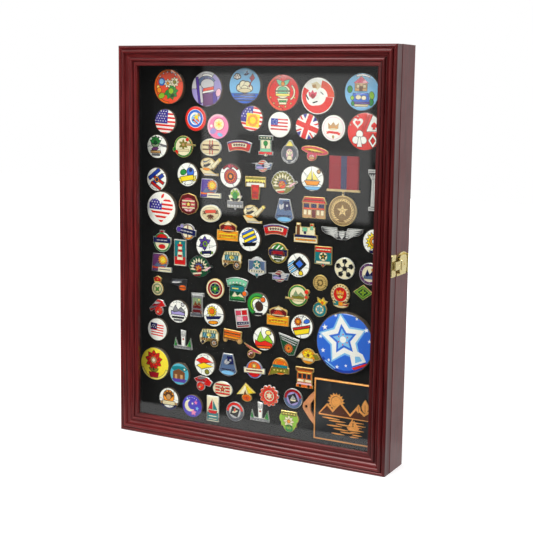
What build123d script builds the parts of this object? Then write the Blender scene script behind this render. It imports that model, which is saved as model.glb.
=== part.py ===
"""Wall case for a collection of enamel pins and badges, with a glazed door."""

import os

from build123d import *

os.makedirs("parts", exist_ok=True)

# Millimetres. X runs to the right, -Y is the front, +Z is up.
# The origin is the middle of the case's footprint, on its underside.

# Overall
case_width = 343.0
case_height = 457.0
case_depth = 53.0

# Case: four mitred boards with a rabbet behind for the back panel
board = 10.0
rabbet_step = 5.0
board_edge_round = 0.8

# Behind the pins, from the felt to the wall
felt = 1.0
pin_board = 9.0
back_panel = 3.0
rear_recess = 7.0
sheet_clearance = 0.2
liner = 0.8
liner_set_back = 0.4

# Door: four mitred rails around a pane
door_thickness = 15.5
door_gap = 1.0
door_rise = 0.3
rail_width = 22.5
outer_bead = 4.2
outer_bead_crest = 1.2
outer_bead_foot = 3.2
quirk = 0.4
quirk_depth = 2.8
crown_bead = 4.4
cove = 4.2
cove_start = 1.6
cove_floor = 5.4
inner_bead = 4.6
inner_bead_crest = 3.6
inner_bead_foot = 5.6
sight_groove = 0.6
sight_groove_depth = 6.8
sight_lip = 6.0
sight_nose = 1.0

# Pane and the beads that hold it
glass_set = 8.5
glass = 2.0
glass_edge = 0.5
glass_rabbet = 7.0
bead_width = 5.6
bead_clearance = 0.2
bead_round = 2.2
bead_set_back = 0.3

# Butt hinges on the left
hinge_length = 38.0
hinge_from_end = 90.0
hinge_knuckle_r = 2.0
hinge_pin_r = 1.0
hinge_running = 0.05
end_play = 0.1
knuckle_off_case = 0.2
leaf = 0.9
leaf_reach = 8.5
leaf_apart = 0.1
leaf_screw_across = 4.7
leaf_screw_apart = 26.0
knuckle_apart = 0.3
mortise_clearance = 0.05
hinge_pin_over = 0.6
hinge_pin_head = 1.4
hinge_pin_head_r = 1.5
hinge_pin_head_taper = 25.0

# Draw catch on the right
catch_height = 24.0
catch_plate = 1.0
catch_corner = 2.0
strike_front = 2.5
strike_back = 14.5
base_front = 17.5
base_back = 44.0
base_edge_rise = 0.6
base_corner_drop = 3.5
strike_screw_depth = 9.0
strike_screw_inset = 3.8
base_screw_depths = (23.0, 34.5)
base_screw_apart = 13.0
lug_height = 1.2
lug_length = 8.0
lug_width = 2.0
lug_from_front = 8.6
lever_plate = 1.0
lever_clear = 0.3
lever_inset = 2.0
lever_front = 19.0
tongue_width = 9.0
claw = 1.2
claw_gap = 0.4
skirt = 0.9
lever_corner = 4.5
boss_raise = 0.5
boss_length = 12.0
boss_width = 14.0
boss_corner = 4.0
boss_taper = 30.0
strike_taper = 20.0
dimple_r = 1.1
dimple_depth = 0.8
dimple_behind_middle = 2.5
catch_axis_back = 41.0
catch_axis_stand = 2.9
catch_knuckle_r = 1.5
catch_pin_r = 0.7
catch_knuckle = 9.2
ear_inset = 2.1
ear_gap = 0.3
catch_pin_over = 0.5
catch_pin_head = 0.6
catch_pin_head_r = 1.05
lever_short_of_barrel = 1.2

# Woodscrews: shank radius, head radius, length, head height
leaf_screw = (0.8, 1.6, 7.0, 0.8)
plate_screw = (0.7, 1.5, 6.0, 0.8)
hanger_screw = (1.0, 2.2, 5.5, 1.2)
panel_screw_r = 0.9
panel_screw_head_r = 2.2
panel_screw_head = 1.2
panel_screw_length = 9.0
panel_screw_spacing = 125.0
panel_screw_slot = 0.5
panel_screw_slot_depth = 0.5
pilot_clearance = 0.05

# Hanging rail and the two keyhole plates let into it
hanging_rail = 45.0
hanger_spacing = 250.0
hanger_width = 16.0
hanger_height = 35.0
hanger_plate = 1.5
hanger_from_top = 26.0
hanger_corner = 4.0
hanger_screw_apart = 26.0
keyhole_r = 4.5
keyhole_slot = 4.5
keyhole_travel = 10.0
keyhole_pocket = 5.5
keyhole_pocket_wider = 1.4

# Felt dots that stop the door
dot_r = 4.0
dot = 0.8
dot_from_corner = 5.0

# Pins and badges, laid out on a sheet of this size and stretched to the felt
layout_width = 323.0
layout_height = 437.0
large_badge = 41.0
large_badge_height = 5.0
print_badge = 29.0
white_badge = 28.0
small_badge_height = 3.6
grand_badge = 70.0
grand_badge_height = 7.0
badge_shell = 0.6
badge_edge = 1.5
badge_shoulder = 0.88
badge_fall = 0.25
badge_bar = (1.6, 0.8)
pin_plate = 1.8
post_r = 0.6
post_length = 6.0
post_clearance = 0.05
post_into = 0.5

front_y = -case_depth / 2
back_y = case_depth / 2
mid_z = case_height / 2
door_back = door_thickness
case_front = door_thickness + door_gap
panel_front = case_depth - rear_recess - back_panel
felt_front = panel_front - pin_board - felt
seam = door_thickness + door_gap / 2
axis_x = -case_width / 2 - hinge_knuckle_r - knuckle_off_case
catch_x = case_width / 2


def save(piece, label):
    piece.part.label = label
    export_step(piece.part, f"parts/{label}.step")


# ---- Mitred members -------------------------------------------------------------
# A member's section is drawn with X inward from the outer edge and Y back from
# the front plane.

outward = {"top": Vector(0, 0, 1), "bottom": Vector(0, 0, -1),
           "left": Vector(-1, 0, 0), "right": Vector(1, 0, 0)}


def edge_plane(side, width, height):
    out = outward[side]
    reach = width / 2 if side in ("left", "right") else height / 2
    origin = Vector(0, front_y, mid_z) + out * reach
    return Plane(origin=origin, x_dir=out * -1, z_dir=Vector(0, 1, 0).cross(out))


def side_run(side, width, height):
    return height if side in ("left", "right") else width


def mitred(side, width, height, draw_section):
    """One member, cut at 45 degrees at both ends."""
    plane = edge_plane(side, width, height)
    half_run = side_run(side, width, height) / 2
    with BuildPart() as member:
        with BuildSketch(plane):
            with BuildLine():
                draw_section()
            make_face()
        extrude(amount=half_run, both=True)
        for way in (1, -1):
            corner = plane.origin + plane.z_dir * half_run * way
            split(bisect_by=Plane(origin=corner, z_dir=plane.z_dir * way + plane.x_dir), keep=Keep.BOTTOM)
    return member.part


def case_section():
    r = board_edge_round
    Polyline((r, case_front), (board, case_front), (board, panel_front), (rabbet_step, panel_front),
             (rabbet_step, case_depth), (0, case_depth), (0, case_front + r))
    RadiusArc((0, case_front + r), (r, case_front), r)


def door_section():
    u_quirk = outer_bead + quirk
    u_cove = u_quirk + crown_bead
    u_inner = u_cove + cove
    u_groove = u_inner + inner_bead
    u_lip = u_groove + sight_groove
    u_nose = rail_width - sight_nose
    u_rabbet = rail_width - glass_rabbet
    cove_drop = cove_floor - cove_start
    ThreePointArc((0, outer_bead_foot), (outer_bead / 2, outer_bead_crest), (outer_bead, quirk_depth))
    Line((outer_bead, quirk_depth), (u_quirk, quirk_depth))
    ThreePointArc((u_quirk, quirk_depth), (u_quirk + crown_bead / 2, 0), (u_cove, cove_start))
    ThreePointArc((u_cove, cove_start), (u_cove + 0.33 * cove, cove_start + 0.7 * cove_drop),
                  (u_inner, cove_floor))
    ThreePointArc((u_inner, cove_floor), (u_inner + inner_bead / 2, inner_bead_crest),
                  (u_groove, inner_bead_foot))
    Polyline((u_groove, inner_bead_foot), (u_groove, sight_groove_depth), (u_lip, sight_groove_depth),
             (u_lip, sight_lip), (u_nose, sight_lip))
    RadiusArc((u_nose, sight_lip), (rail_width, sight_lip + sight_nose), sight_nose)
    Polyline((rail_width, sight_lip + sight_nose), (rail_width, glass_set), (u_rabbet, glass_set),
             (u_rabbet, door_back), (0, door_back), (0, outer_bead_foot))


def glazing_section():
    u_out = rail_width - glass_rabbet + bead_clearance
    u_in = u_out + bead_width
    back = door_back - bead_set_back
    front = glass_set + glass
    Polyline((u_in, back - bead_round), (u_in, front), (u_out, front), (u_out, back), (u_in - bead_round, back))
    RadiusArc((u_in - bead_round, back), (u_in, back - bead_round), bead_round)


def liner_section():
    start = case_front + liner_set_back
    Polyline((board, start), (board + liner, start), (board + liner, felt_front), (board, felt_front),
             close=True)


# ---- Screw seats ------------------------------------------------------------------
# A seat is a plane at the head's face, with Z pointing out of the head.

def seat(x, depth, z, out):
    across = Vector(0, 0, 1)
    return Plane(origin=(x, front_y + depth, z), x_dir=across, z_dir=out)


to_front = Vector(0, -1, 0)
to_back = Vector(0, 1, 0)
to_left = Vector(-1, 0, 0)
to_right = Vector(1, 0, 0)

hinge_mids = (hinge_from_end, case_height - hinge_from_end)
hinge_screw_x = -case_width / 2 + leaf_screw_across
hinge_screw_z = [mid + way * leaf_screw_apart / 2 for mid in hinge_mids for way in (-1, 1)]
case_leaf_face = seam + leaf_apart / 2
door_leaf_face = seam - leaf_apart / 2
case_leaf_seats = [seat(hinge_screw_x, case_leaf_face, z, to_front) for z in hinge_screw_z]
door_leaf_seats = [seat(hinge_screw_x, door_leaf_face, z, to_back) for z in hinge_screw_z]

strike_screw_off = catch_height / 2 - strike_screw_inset
strike_seats = [
    seat(catch_x + catch_plate, strike_screw_depth, mid_z + way * strike_screw_off, to_right)
    for way in (-1, 1)
]
base_seats = [
    seat(catch_x + catch_plate, depth, mid_z + way * base_screw_apart / 2, to_right)
    for depth in base_screw_depths for way in (-1, 1)
]

hanger_z = case_height - hanger_from_top
hanger_seats = [
    seat(way * hanger_spacing / 2, case_depth, hanger_z + end * hanger_screw_apart / 2, to_back)
    for way in (-1, 1) for end in (-1, 1)
]

panel_inset = (rabbet_step + board) / 2


def spread(span, spacing):
    """Evenly spaced places along a span, at most one spacing apart, kept off the ends."""
    count = max(2, round(span / spacing))
    return [span * (i + 0.5) / count - span / 2 for i in range(count)]


panel_seats = [
    seat(way * (case_width / 2 - panel_inset), panel_front + back_panel, mid_z + along, to_back)
    for way in (-1, 1) for along in spread(case_height - 2 * hanging_rail, panel_screw_spacing)
] + [
    seat(along, panel_front + back_panel, panel_inset, to_back)
    for along in spread(case_width, panel_screw_spacing)
]


def flat_head_screws(label, seats, size):
    shank_r, head_r, length, head = size
    with BuildPart() as screws:
        with Locations(*seats):
            Cylinder(shank_r, length, align=(Align.CENTER, Align.CENTER, Align.MAX))
            Cone(shank_r, head_r, head, align=(Align.CENTER, Align.CENTER, Align.MAX))
            Box(head_r * 1.3, shank_r * 0.5, head * 0.5, align=(Align.CENTER, Align.CENTER, Align.MAX),
                mode=Mode.SUBTRACT)
            Box(shank_r * 0.5, head_r * 1.3, head * 0.5, align=(Align.CENTER, Align.CENTER, Align.MAX),
                mode=Mode.SUBTRACT)
    save(screws, label)


def head_holes(seats, size, through):
    """Countersunk holes in a plate; called inside a BuildPart block."""
    shank_r, head_r, _, head = size
    c = pilot_clearance
    with Locations(*seats):
        Cylinder(shank_r + c, through, align=(Align.CENTER, Align.CENTER, Align.MAX), mode=Mode.SUBTRACT)
        Cone(shank_r + c, head_r + c, head, align=(Align.CENTER, Align.CENTER, Align.MAX), mode=Mode.SUBTRACT)


def pilot_holes(seats, shank_r, length):
    """Holes in wood for screw shanks; called inside a BuildPart block."""
    with Locations(*seats):
        Cylinder(shank_r + pilot_clearance, length + pilot_clearance,
                 align=(Align.CENTER, Align.CENTER, Align.MAX), mode=Mode.SUBTRACT)


# ---- Case ---------------------------------------------------------------------------

def hinge_mortises(depth, back):
    """Pockets for hinge leaves in the left member, from the edge back to a depth."""
    reach = leaf_reach + mortise_clearance
    with Locations(*[(-case_width / 2 + reach / 2, front_y + depth, mid) for mid in hinge_mids]):
        Box(reach, 2 * back, hinge_length + 2 * mortise_clearance, mode=Mode.SUBTRACT)


leaf_sink = case_leaf_face + leaf - case_front + mortise_clearance

for side in outward:
    blank = mitred(side, case_width, case_height, case_section)
    with BuildPart() as case_board:
        add(blank)
        pilot_holes(panel_seats, panel_screw_r, panel_screw_length)
        if side == "left":
            hinge_mortises(case_front, leaf_sink)
            pilot_holes(case_leaf_seats, leaf_screw[0], leaf_screw[2])
        if side == "right":
            pilot_holes(base_seats, plate_screw[0], plate_screw[2])
    save(case_board, f"case_{side}")

# Felt liners on the inner walls
for side in outward:
    blank = mitred(side, case_width, case_height, liner_section)
    with BuildPart() as wall_liner:
        add(blank)
    save(wall_liner, f"liner_{side}")

# ---- Pins: places and outlines ---------------------------------------------------------
# Places are (across, up) on the layout sheet, from its lower left corner.

felt_width = case_width - 2 * board
felt_height = case_height - 2 * board
pin_scale = min(1.0, felt_width / layout_width, felt_height / layout_height)
felt_plane = Plane(origin=(0, front_y + felt_front, 0), x_dir=(1, 0, 0), z_dir=(0, -1, 0))

large_places = [(42, 401), (93, 399), (142.5, 403), (190, 396), (232.5, 393), (284, 398), (288.5, 356.5),
                (31.5, 259), (22, 70)]
print_places = [(36.5, 361), (78, 365), (107.5, 357), (151, 367), (186, 361), (220, 360), (251.5, 359)]
white_places = [(25, 331.5), (24.5, 293), (67, 300.5), (124.5, 302), (227.5, 303.5), (93, 219), (150, 231),
                (303, 239.5), (212.5, 206.5), (54.5, 137.5), (103.5, 138.5), (161.5, 157), (218, 137.5),
                (25, 112.5), (170, 118), (91.5, 77.5), (41.5, 28.5), (56.5, 61.5), (74.5, 24.5)]
grand_place = (272, 125)


def on_felt(place):
    """A layout place as X and Y of the felt's plane."""
    across, up = place
    return (across / layout_width - 0.5) * felt_width, board + up / layout_height * felt_height


def outline(*pieces):
    """One outline out of overlapping pieces, each a function that draws in the sketch."""
    with BuildSketch() as shape:
        for draw in pieces:
            draw()
    return shape.sketch


def disc(d, x=0.0, y=0.0):
    def draw():
        with Locations((x, y)):
            Circle(d / 2)
    return draw


def oval(w, h, x=0.0, y=0.0, turn=0.0):
    def draw():
        with Locations(Location((x, y), turn)):
            Ellipse(w / 2, h / 2)
    return draw


def bar(w, h, x=0.0, y=0.0, turn=0.0):
    def draw():
        with Locations(Location((x, y), turn)):
            Rectangle(w, h)
    return draw


def patch(*points):
    def draw():
        Polygon(*points, align=None)
    return draw


def arched(w, h, rise, bulge, x=0.0, y=0.0):
    """A band with both long edges bowed upward by rise at the top and bulge below."""
    with BuildSketch() as band:
        with BuildLine():
            top = ThreePointArc((x - w / 2, y + h / 2), (x, y + h / 2 + rise), (x + w / 2, y + h / 2))
            low = ThreePointArc((x - w * 0.42, y - h / 2), (x, y - h / 2 + bulge), (x + w * 0.42, y - h / 2))
            Line(top @ 0, low @ 0)
            Line(top @ 1, low @ 1)
        make_face()

    def draw():
        add(band.sketch)
    return draw


def petals(d, petal, count, x=0.0, y=0.0, start=0.0, sweep=360.0):
    """A ring of small discs, as a scalloped edge."""
    def draw():
        with Locations((x, y)):
            with PolarLocations(d / 2, count, start, sweep):
                Circle(petal / 2)
    return draw


round_pins = [
    (outline(disc(25), disc(6, -11.5, -3.5), bar(8, 2, 12, 2)), (60.5, 332.5)),
    (outline(disc(24.5), disc(6, 11.2, 5), disc(5, 10.5, -1), bar(6, 2, -13, -4)), (212, 172)),
    (outline(disc(23.5), bar(24, 8, 0, 1)), (186, 218)),
    (outline(disc(24)), (268, 207.5)),
    (outline(disc(24)), (297.5, 204)),
    (outline(disc(17.5)), (239, 189)),
    (outline(disc(24)), (104.5, 169.5)),
    (outline(disc(22.5), arched(20, 4.5, -2.4, -2.2, 1, -10.8)), (263.5, 178.5)),
    (outline(disc(21.5), petals(20.5, 5, 12)), (177.5, 51.5)),
    (outline(disc(23.5)), (208, 52.5)),
    (outline(disc(23.5)), (132.5, 26)),
    (outline(disc(23.5, 0, -1.5), bar(25, 8, 0, 1), bar(6, 3, 0, 11.5)), (31, 220)),
    (outline(disc(16, 0, -4), patch((-4, 3.5), (4, 3.5), (5.8, 9), (0, 12), (-5.8, 9))), (24.5, 166)),
]
oval_pins = [
    (outline(oval(28, 20)), (97.5, 333)),
    (outline(oval(28, 20.5, turn=5)), (97.7, 257)),
    (outline(oval(26.5, 18.5)), (115.5, 50.8)),
    (outline(oval(21, 22, 0, -2), patch((-6, 6), (6, 6), (2, 13), (-1, 13))), (198.5, 331.5)),
]

sun_plate = outline(disc(18, 0, 2.5), patch((-14, -10.5), (-12, 11.2), (1, 11.5), (1, -6), (-6, -10.5)),
                    bar(19, 6, 4.5, -7.5))
mound_banner = outline(bar(28, 12, 0, -5), arched(23, 9, 4, 0.4, 0.5, 2), patch((-6, 7), (6, 7), (0.5, 12)))
banner_pins = [
    (outline(arched(32, 11, 3, 2.6)), (134.8, 334)),
    (outline(arched(31.5, 11, 3, 2.6)), (182.7, 242)),
    (sun_plate, (97.5, 285.5)),
    (sun_plate, (30.2, 193.5)),
    (mound_banner, (120.5, 238)),
    (mound_banner, (187, 146)),
    (outline(arched(29, 9, 3, 2, 0, 7.5), bar(21, 18, 0.5, -4), disc(7, 10.5, -3)), (133.5, 170.5)),
    (outline(disc(19, 2, 0), bar(26, 7.5, 0, 0.5, -8), disc(7, -10.5, 2), disc(6, -6, 6)), (65, 233.5)),
    (outline(disc(18), patch((-15, -3), (-8, 5), (-4, -3)), patch((4, 3), (11, 4.5), (15.5, -2), (9, -4))),
     (226, 104)),
    (outline(disc(21), bar(27.5, 6.5, 0, -1.5, 2)), (157.5, 80)),
]

upright = outline(bar(16.6, 31))
with BuildSketch() as jug:
    with BuildLine():
        Polyline((11.8, -7.5), (6.5, 13.3), (-6.5, 13.3), (-11.8, -7.5))
        ThreePointArc((-11.8, -7.5), (0, -13.4), (11.8, -7.5))
    make_face()
upright_pins = [
    (upright, (56.3, 208)),
    (upright, (102.3, 25)),
    (outline(bar(14.5, 24), bar(17.5, 4.5, 0.7, 12, 3), bar(17, 4.5, -0.7, -12, 3)), (80, 148)),
    (outline(patch((-10.5, 11.8), (10.5, 11.8), (10.5, -8), (3, -8.5), (0, -11.6), (-3, -8.5), (-10.5, -8))),
     (242, 218)),
    (outline(bar(14, 20), bar(18, 5, 0, 8.5), bar(18, 4, 0, -8.5), disc(5, 0, -9.5)), (168.5, 337.5)),
    (jug.sketch, (193, 266)),
    (jug.sketch, (122.3, 81)),
    (outline(bar(18, 22, turn=9)), (141, 138.5)),
    (outline(patch((-9, 11), (0, 13.5), (9, 11), (13, 3), (13, -3), (9, -9), (0, -12), (-9, -9), (-13, -3),
                   (-13, 3))), (67.7, 265.5)),
]

fan = outline(oval(26, 22, -2, -1), petals(25, 4.5, 12, -2, -1, -10, 200),
              patch((6, -6), (16.5, 1.5), (15, 3.5), (6, 2)))
swan = outline(oval(19, 14, -2.5, 3), patch((1, 1), (12, 9.5), (14.5, 6.5), (5, -4)), disc(4.6, 13.2, 8),
               patch((-13, -2.5), (-3, -2), (7, -8), (11.5, -7.5), (11.5, -10.5), (-7, -10.5)))
winged = outline(disc(13.5), patch((-14.5, 2.8), (-9, 2), (-9, -4), (10, -3.5), (12.5, 4), (3, 3.5), (-8, 3.5)))
figure_pins = [
    (fan, (192.5, 296.5)),
    (fan, (84.5, 193)),
    (swan, (96, 311)),
    (swan, (153.2, 260)),
    (winged, (165, 314.5)),
    (winged, (188.3, 191.5)),
    (outline(bar(20.5, 8, 0, -6.5), oval(13, 16, 0, 4), patch((-9, 3.5), (9, 3.5), (6, -3), (-6, -3)),
             patch((-2.2, -10), (2.2, -10), (0, -13))), (130, 276)),
    (outline(bar(26, 11.5, 0, 7), patch((-6, 2), (6, 2), (4.6, -13), (-4.6, -13))), (156, 289.5)),
    (outline(patch((-11, 8), (11.5, -1), (10.5, -3), (3, -2), (-7, 4)), disc(9.5, -1.5, -4.5)), (154.5, 102)),
    (outline(patch((-12, -3), (0, 9), (7.5, 8), (11.5, 1), (0, -1), (-10, -7)), disc(12, 1.8, -5)),
     (24.7, 140.5)),
    (outline(patch((-12.5, 5), (-4, 9), (7, 8), (13, 3), (9.5, -3), (-8, 0)), disc(11.5, -3, -3.5)),
     (88.5, 54)),
    (outline(patch((-12.5, 0), (-9, 6), (12.5, 7), (12, 0), (5, -4), (-3, -1.5)), oval(12, 8, 6, -3.5)),
     (54, 170)),
    (outline(oval(33, 9.5, 0.5, 2.5, -8), oval(12, 11, -3, -3.5)), (228.6, 331.5)),
]

cart = outline(patch((-13, 1), (-9, 9.5), (9, 10.5), (13, 6), (13, -3), (-3, -4.5), (-9, -9), (-12, -6)),
               disc(10, 7, -5.5))
tuft = outline(bar(25, 4, 0, -9), patch((-12.5, -8), (-10.5, 2), (-7, -8)),
               patch((-2, -8), (-3, 12), (4, 11), (3, -8)),
               patch((5, -8), (10.5, 3), (12.5, -8)))
scene_pins = [
    (cart, (126, 205)),
    (cart, (96.5, 110.5)),
    (tuft, (60.5, 103.5)),
    (tuft, (165.5, 30.5)),
    (outline(bar(28, 18, 0, -3), patch((-15.5, 5), (15.5, 4), (12, 11.5), (-12, 11.5))), (229.5, 272)),
    (outline(bar(29, 9, 0, -6), bar(24, 10, -0.5, 2), bar(5, 15, -9, 3.5), bar(4.5, 14, 7.5, 4)), (220, 242.8)),
    (outline(bar(19, 18), bar(22.5, 4.5, 0, 9.5), bar(21, 3.5, 0, -10)), (222, 79)),
    (outline(disc(20, 1, 1), patch((-14.5, -11.5), (-10, 0), (12.5, 0), (12, -7), (0, -7))), (190, 87)),
    (outline(patch((-13, 12), (13, 6), (7, -12), (0, -13), (-7, -8)), disc(13.5, 0, -5)), (201.5, 115)),
    (outline(patch((-12.5, -3.5), (-1, 11.5), (12.5, 1), (4, -1)), oval(13, 9.5, 1, -6)), (147, 51)),
    (outline(disc(18, 0, 3), patch((-11, 8), (11, 8), (11.5, -6), (4, -9.5), (-4, -9.5), (-11.5, -6)),
             patch((-3, -8), (3, -8), (0, -12.5))), (159.3, 199.5)),
    (outline(disc(17, 0, -3), patch((-2, 2), (-3.5, 10.5), (1.5, 8), (4, 11), (6, 7.5), (9.5, 6.5), (5, 0))),
     (239, 162)),
    (outline(patch((-11.5, 0), (0, 8.5), (11.5, 0), (0, -8.5))), (290.5, 183)),
    (outline(bar(24, 12, 0, 2, -4), disc(7, 9.5, -4), disc(5, -9.5, -4.5)), (128, 115)),
    (outline(bar(20, 18, 0, 2.5), disc(13, -6, 3), disc(13, 6, 3), disc(15.5, 0.5, -5.5)), (203.2, 25.5)),
]
enamel_sets = {"pins_round": round_pins, "pins_oval": oval_pins, "pins_banner": banner_pins,
               "pins_upright": upright_pins, "pins_figure": figure_pins, "pins_scene": scene_pins}

# Award medal: ribbon, suspender bar, ring and disc
ribbon_place = (264.3, 311.5)
ribbon_width = 35.0
ribbon_drop = 36.0
ribbon = 1.6
medal_bar_width = 39.0
medal_bar_height = 2.4
medal_bar = 2.6
medal_d = 33.0
medal_disc = 2.6
eye_r = 1.4
eye_hole_r = 0.8
eye = 1.0
eye_stand = 1.5
bar_eye_drop = 0.2
disc_eye_rise = 0.8
ring_r = 1.6
ring_wire_r = 0.4
ribbon_post_share = 0.35

# Pilot's wings, silver column and the relief plaque with its loop
wings_place = (264, 245)
wings = 2.2
column_place = (299.5, 294.5)
column = 2.4
plaque_place = (275.5, 46)
plaque_width = 80.0
plaque_height = 70.0
plaque = 3.5
plaque_rim = 2.0
plaque_sink = 1.0
loop = 2.0
loop_reach = 14.0
loop_hole_r = 1.8
loop_grip = 20.0

post_places = ([on_felt(p) for p in large_places + print_places + white_places + [grand_place]]
               + [on_felt(place) for pins in enamel_sets.values() for _, place in pins]
               + [on_felt(p) for p in (wings_place, column_place, plaque_place)])
ribbon_x, ribbon_z = on_felt(ribbon_place)
ribbon_posts = [(ribbon_x + way * ribbon_width * ribbon_post_share * pin_scale,
                 ribbon_z + ribbon_drop * ribbon_post_share * pin_scale) for way in (-1, 1)]
post_places = post_places + ribbon_posts

# ---- Felt, pin board, back panel and hanging rail -------------------------------------------

sheet_width = felt_width - 2 * sheet_clearance
sheet_height = felt_height - 2 * sheet_clearance


def post_seats(places, height=0.0):
    """Planes at posts, with Z pointing to the front."""
    return [Plane(origin=(x, front_y + felt_front - height, z), z_dir=(0, -1, 0)) for x, z in places]


def post_holes(depth):
    """Holes that the pins' posts have made; called inside a BuildPart block."""
    with Locations(*post_seats(post_places)):
        Cylinder(post_r + post_clearance, depth, align=(Align.CENTER, Align.CENTER, Align.MAX),
                 mode=Mode.SUBTRACT)


with BuildPart() as felt_sheet:
    with Locations((0, front_y + felt_front + felt / 2, mid_z)):
        Box(sheet_width, felt, sheet_height)
    post_holes(felt)
save(felt_sheet, "felt_sheet")

with BuildPart() as pin_panel:
    with Locations((0, front_y + felt_front + felt + pin_board / 2, mid_z)):
        Box(sheet_width, pin_board, sheet_height)
    post_holes(post_length + post_clearance)
    pilot_holes(panel_seats, panel_screw_r, panel_screw_length)
save(pin_panel, "pin_board")

with BuildPart() as rear_panel:
    with Locations((0, front_y + panel_front + back_panel / 2, mid_z)):
        Box(case_width - 2 * rabbet_step - 2 * sheet_clearance, back_panel,
            case_height - 2 * rabbet_step - 2 * sheet_clearance)
    pilot_holes(panel_seats, panel_screw_r, panel_screw_length)
save(rear_panel, "back_panel")

with BuildPart() as panel_screws:
    with Locations(*panel_seats):
        Cylinder(panel_screw_r, panel_screw_length, align=(Align.CENTER, Align.CENTER, Align.MAX))
        Cylinder(panel_screw_head_r, panel_screw_head, align=(Align.CENTER, Align.CENTER, Align.MIN))
        with Locations((0, 0, panel_screw_head)):
            Box(panel_screw_head_r * 1.2, panel_screw_slot, 2 * panel_screw_slot_depth, mode=Mode.SUBTRACT)
            Box(panel_screw_slot, panel_screw_head_r * 1.2, 2 * panel_screw_slot_depth, mode=Mode.SUBTRACT)
save(panel_screws, "panel_screws")


def keyhole(x, extra):
    """Outline of an entry hole with its slot above, on the back plane."""
    back = Plane(origin=(x, back_y, hanger_z), x_dir=(-1, 0, 0), z_dir=(0, 1, 0))
    with BuildSketch(back) as opening:
        with Locations((0, -keyhole_travel / 2)):
            Circle(keyhole_r + extra)
        with Locations((0, keyhole_travel / 2)):
            Circle(keyhole_slot / 2 + extra)
        Rectangle(keyhole_slot + 2 * extra, keyhole_travel)
    return opening.sketch


pockets = [keyhole(way * hanger_spacing / 2, keyhole_pocket_wider) for way in (-1, 1)]

with BuildPart() as wall_rail:
    rail_top = case_height - rabbet_step
    with Locations((0, back_y - rear_recess / 2, rail_top - hanging_rail / 2)):
        Box(case_width - 2 * rabbet_step, rear_recess, hanging_rail)
    for way in (-1, 1):
        with Locations((way * hanger_spacing / 2, back_y, hanger_z)):
            Box(hanger_width + 2 * sheet_clearance, 2 * hanger_plate, hanger_height + 2 * sheet_clearance,
                mode=Mode.SUBTRACT)
    for pocket in pockets:
        extrude(pocket, amount=-keyhole_pocket, mode=Mode.SUBTRACT)
    pilot_holes(hanger_seats, hanger_screw[0], hanger_screw[2])
save(wall_rail, "hanging_rail")

for name, way in (("left", -1), ("right", 1)):
    opening = keyhole(way * hanger_spacing / 2, 0.0)
    with BuildPart() as hanger:
        with Locations((way * hanger_spacing / 2, back_y - hanger_plate / 2, hanger_z)):
            Box(hanger_width, hanger_plate, hanger_height)
        fillet(hanger.edges().filter_by(Axis.Y), hanger_corner)
        extrude(opening, amount=-2 * hanger_plate, mode=Mode.SUBTRACT)
        head_holes(hanger_seats, hanger_screw, 2 * hanger_plate)
    save(hanger, f"hanger_{name}")
flat_head_screws("hanger_screws", hanger_seats, hanger_screw)

# ---- Door --------------------------------------------------------------------------------

door_height = case_height - 2 * door_rise

for side in outward:
    blank = mitred(side, case_width, door_height, door_section)
    with BuildPart() as door_rail:
        add(blank)
        if side == "left":
            hinge_mortises(door_back, door_back - door_leaf_face + leaf + mortise_clearance)
            pilot_holes(door_leaf_seats, leaf_screw[0], leaf_screw[2])
        if side == "right":
            pilot_holes(strike_seats, plate_screw[0], plate_screw[2])
    save(door_rail, f"door_{side}")

for side in outward:
    blank = mitred(side, case_width, door_height, glazing_section)
    with BuildPart() as glazing_bead:
        add(blank)
    save(glazing_bead, f"glazing_bead_{side}")

pane_inset = rail_width - glass_rabbet + glass_edge
with BuildPart() as pane:
    with Locations((0, front_y + glass_set + glass / 2, mid_z)):
        Box(case_width - 2 * pane_inset, glass, door_height - 2 * pane_inset)
save(pane, "glass_pane")

with BuildPart() as stop_dots:
    dot_x = case_width / 2 - dot_from_corner
    for z in (dot_from_corner, case_height - dot_from_corner):
        with BuildSketch(Plane(origin=(dot_x, front_y + case_front, z), z_dir=(0, -1, 0))):
            Circle(dot_r)
        extrude(amount=dot)
save(stop_dots, "stop_dots")

# ---- Hinges --------------------------------------------------------------------------------

knuckle_third = hinge_length / 3
plate_start = axis_x + hinge_knuckle_r + knuckle_apart
plate_end = -case_width / 2 + leaf_reach


def hinge_leaf(mid, spans, face, back):
    """A leaf between two depths, with its knuckles and bore; called inside a BuildPart block."""
    depth = front_y + (face + back) / 2
    with Locations(((plate_start + plate_end) / 2, depth, mid)):
        Box(plate_end - plate_start, abs(back - face), hinge_length)
    for low, high in spans:
        with Locations(((axis_x + plate_start + knuckle_apart) / 2, depth, (low + high) / 2)):
            Box(plate_start + knuckle_apart - axis_x, abs(back - face), high - low)
    for low, high in spans:
        with Locations((axis_x, front_y + seam, (low + high) / 2)):
            Cylinder(hinge_knuckle_r, high - low)
    with Locations((axis_x, front_y + seam, mid)):
        Cylinder(hinge_pin_r + hinge_running, 2 * hinge_length, mode=Mode.SUBTRACT)


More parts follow.
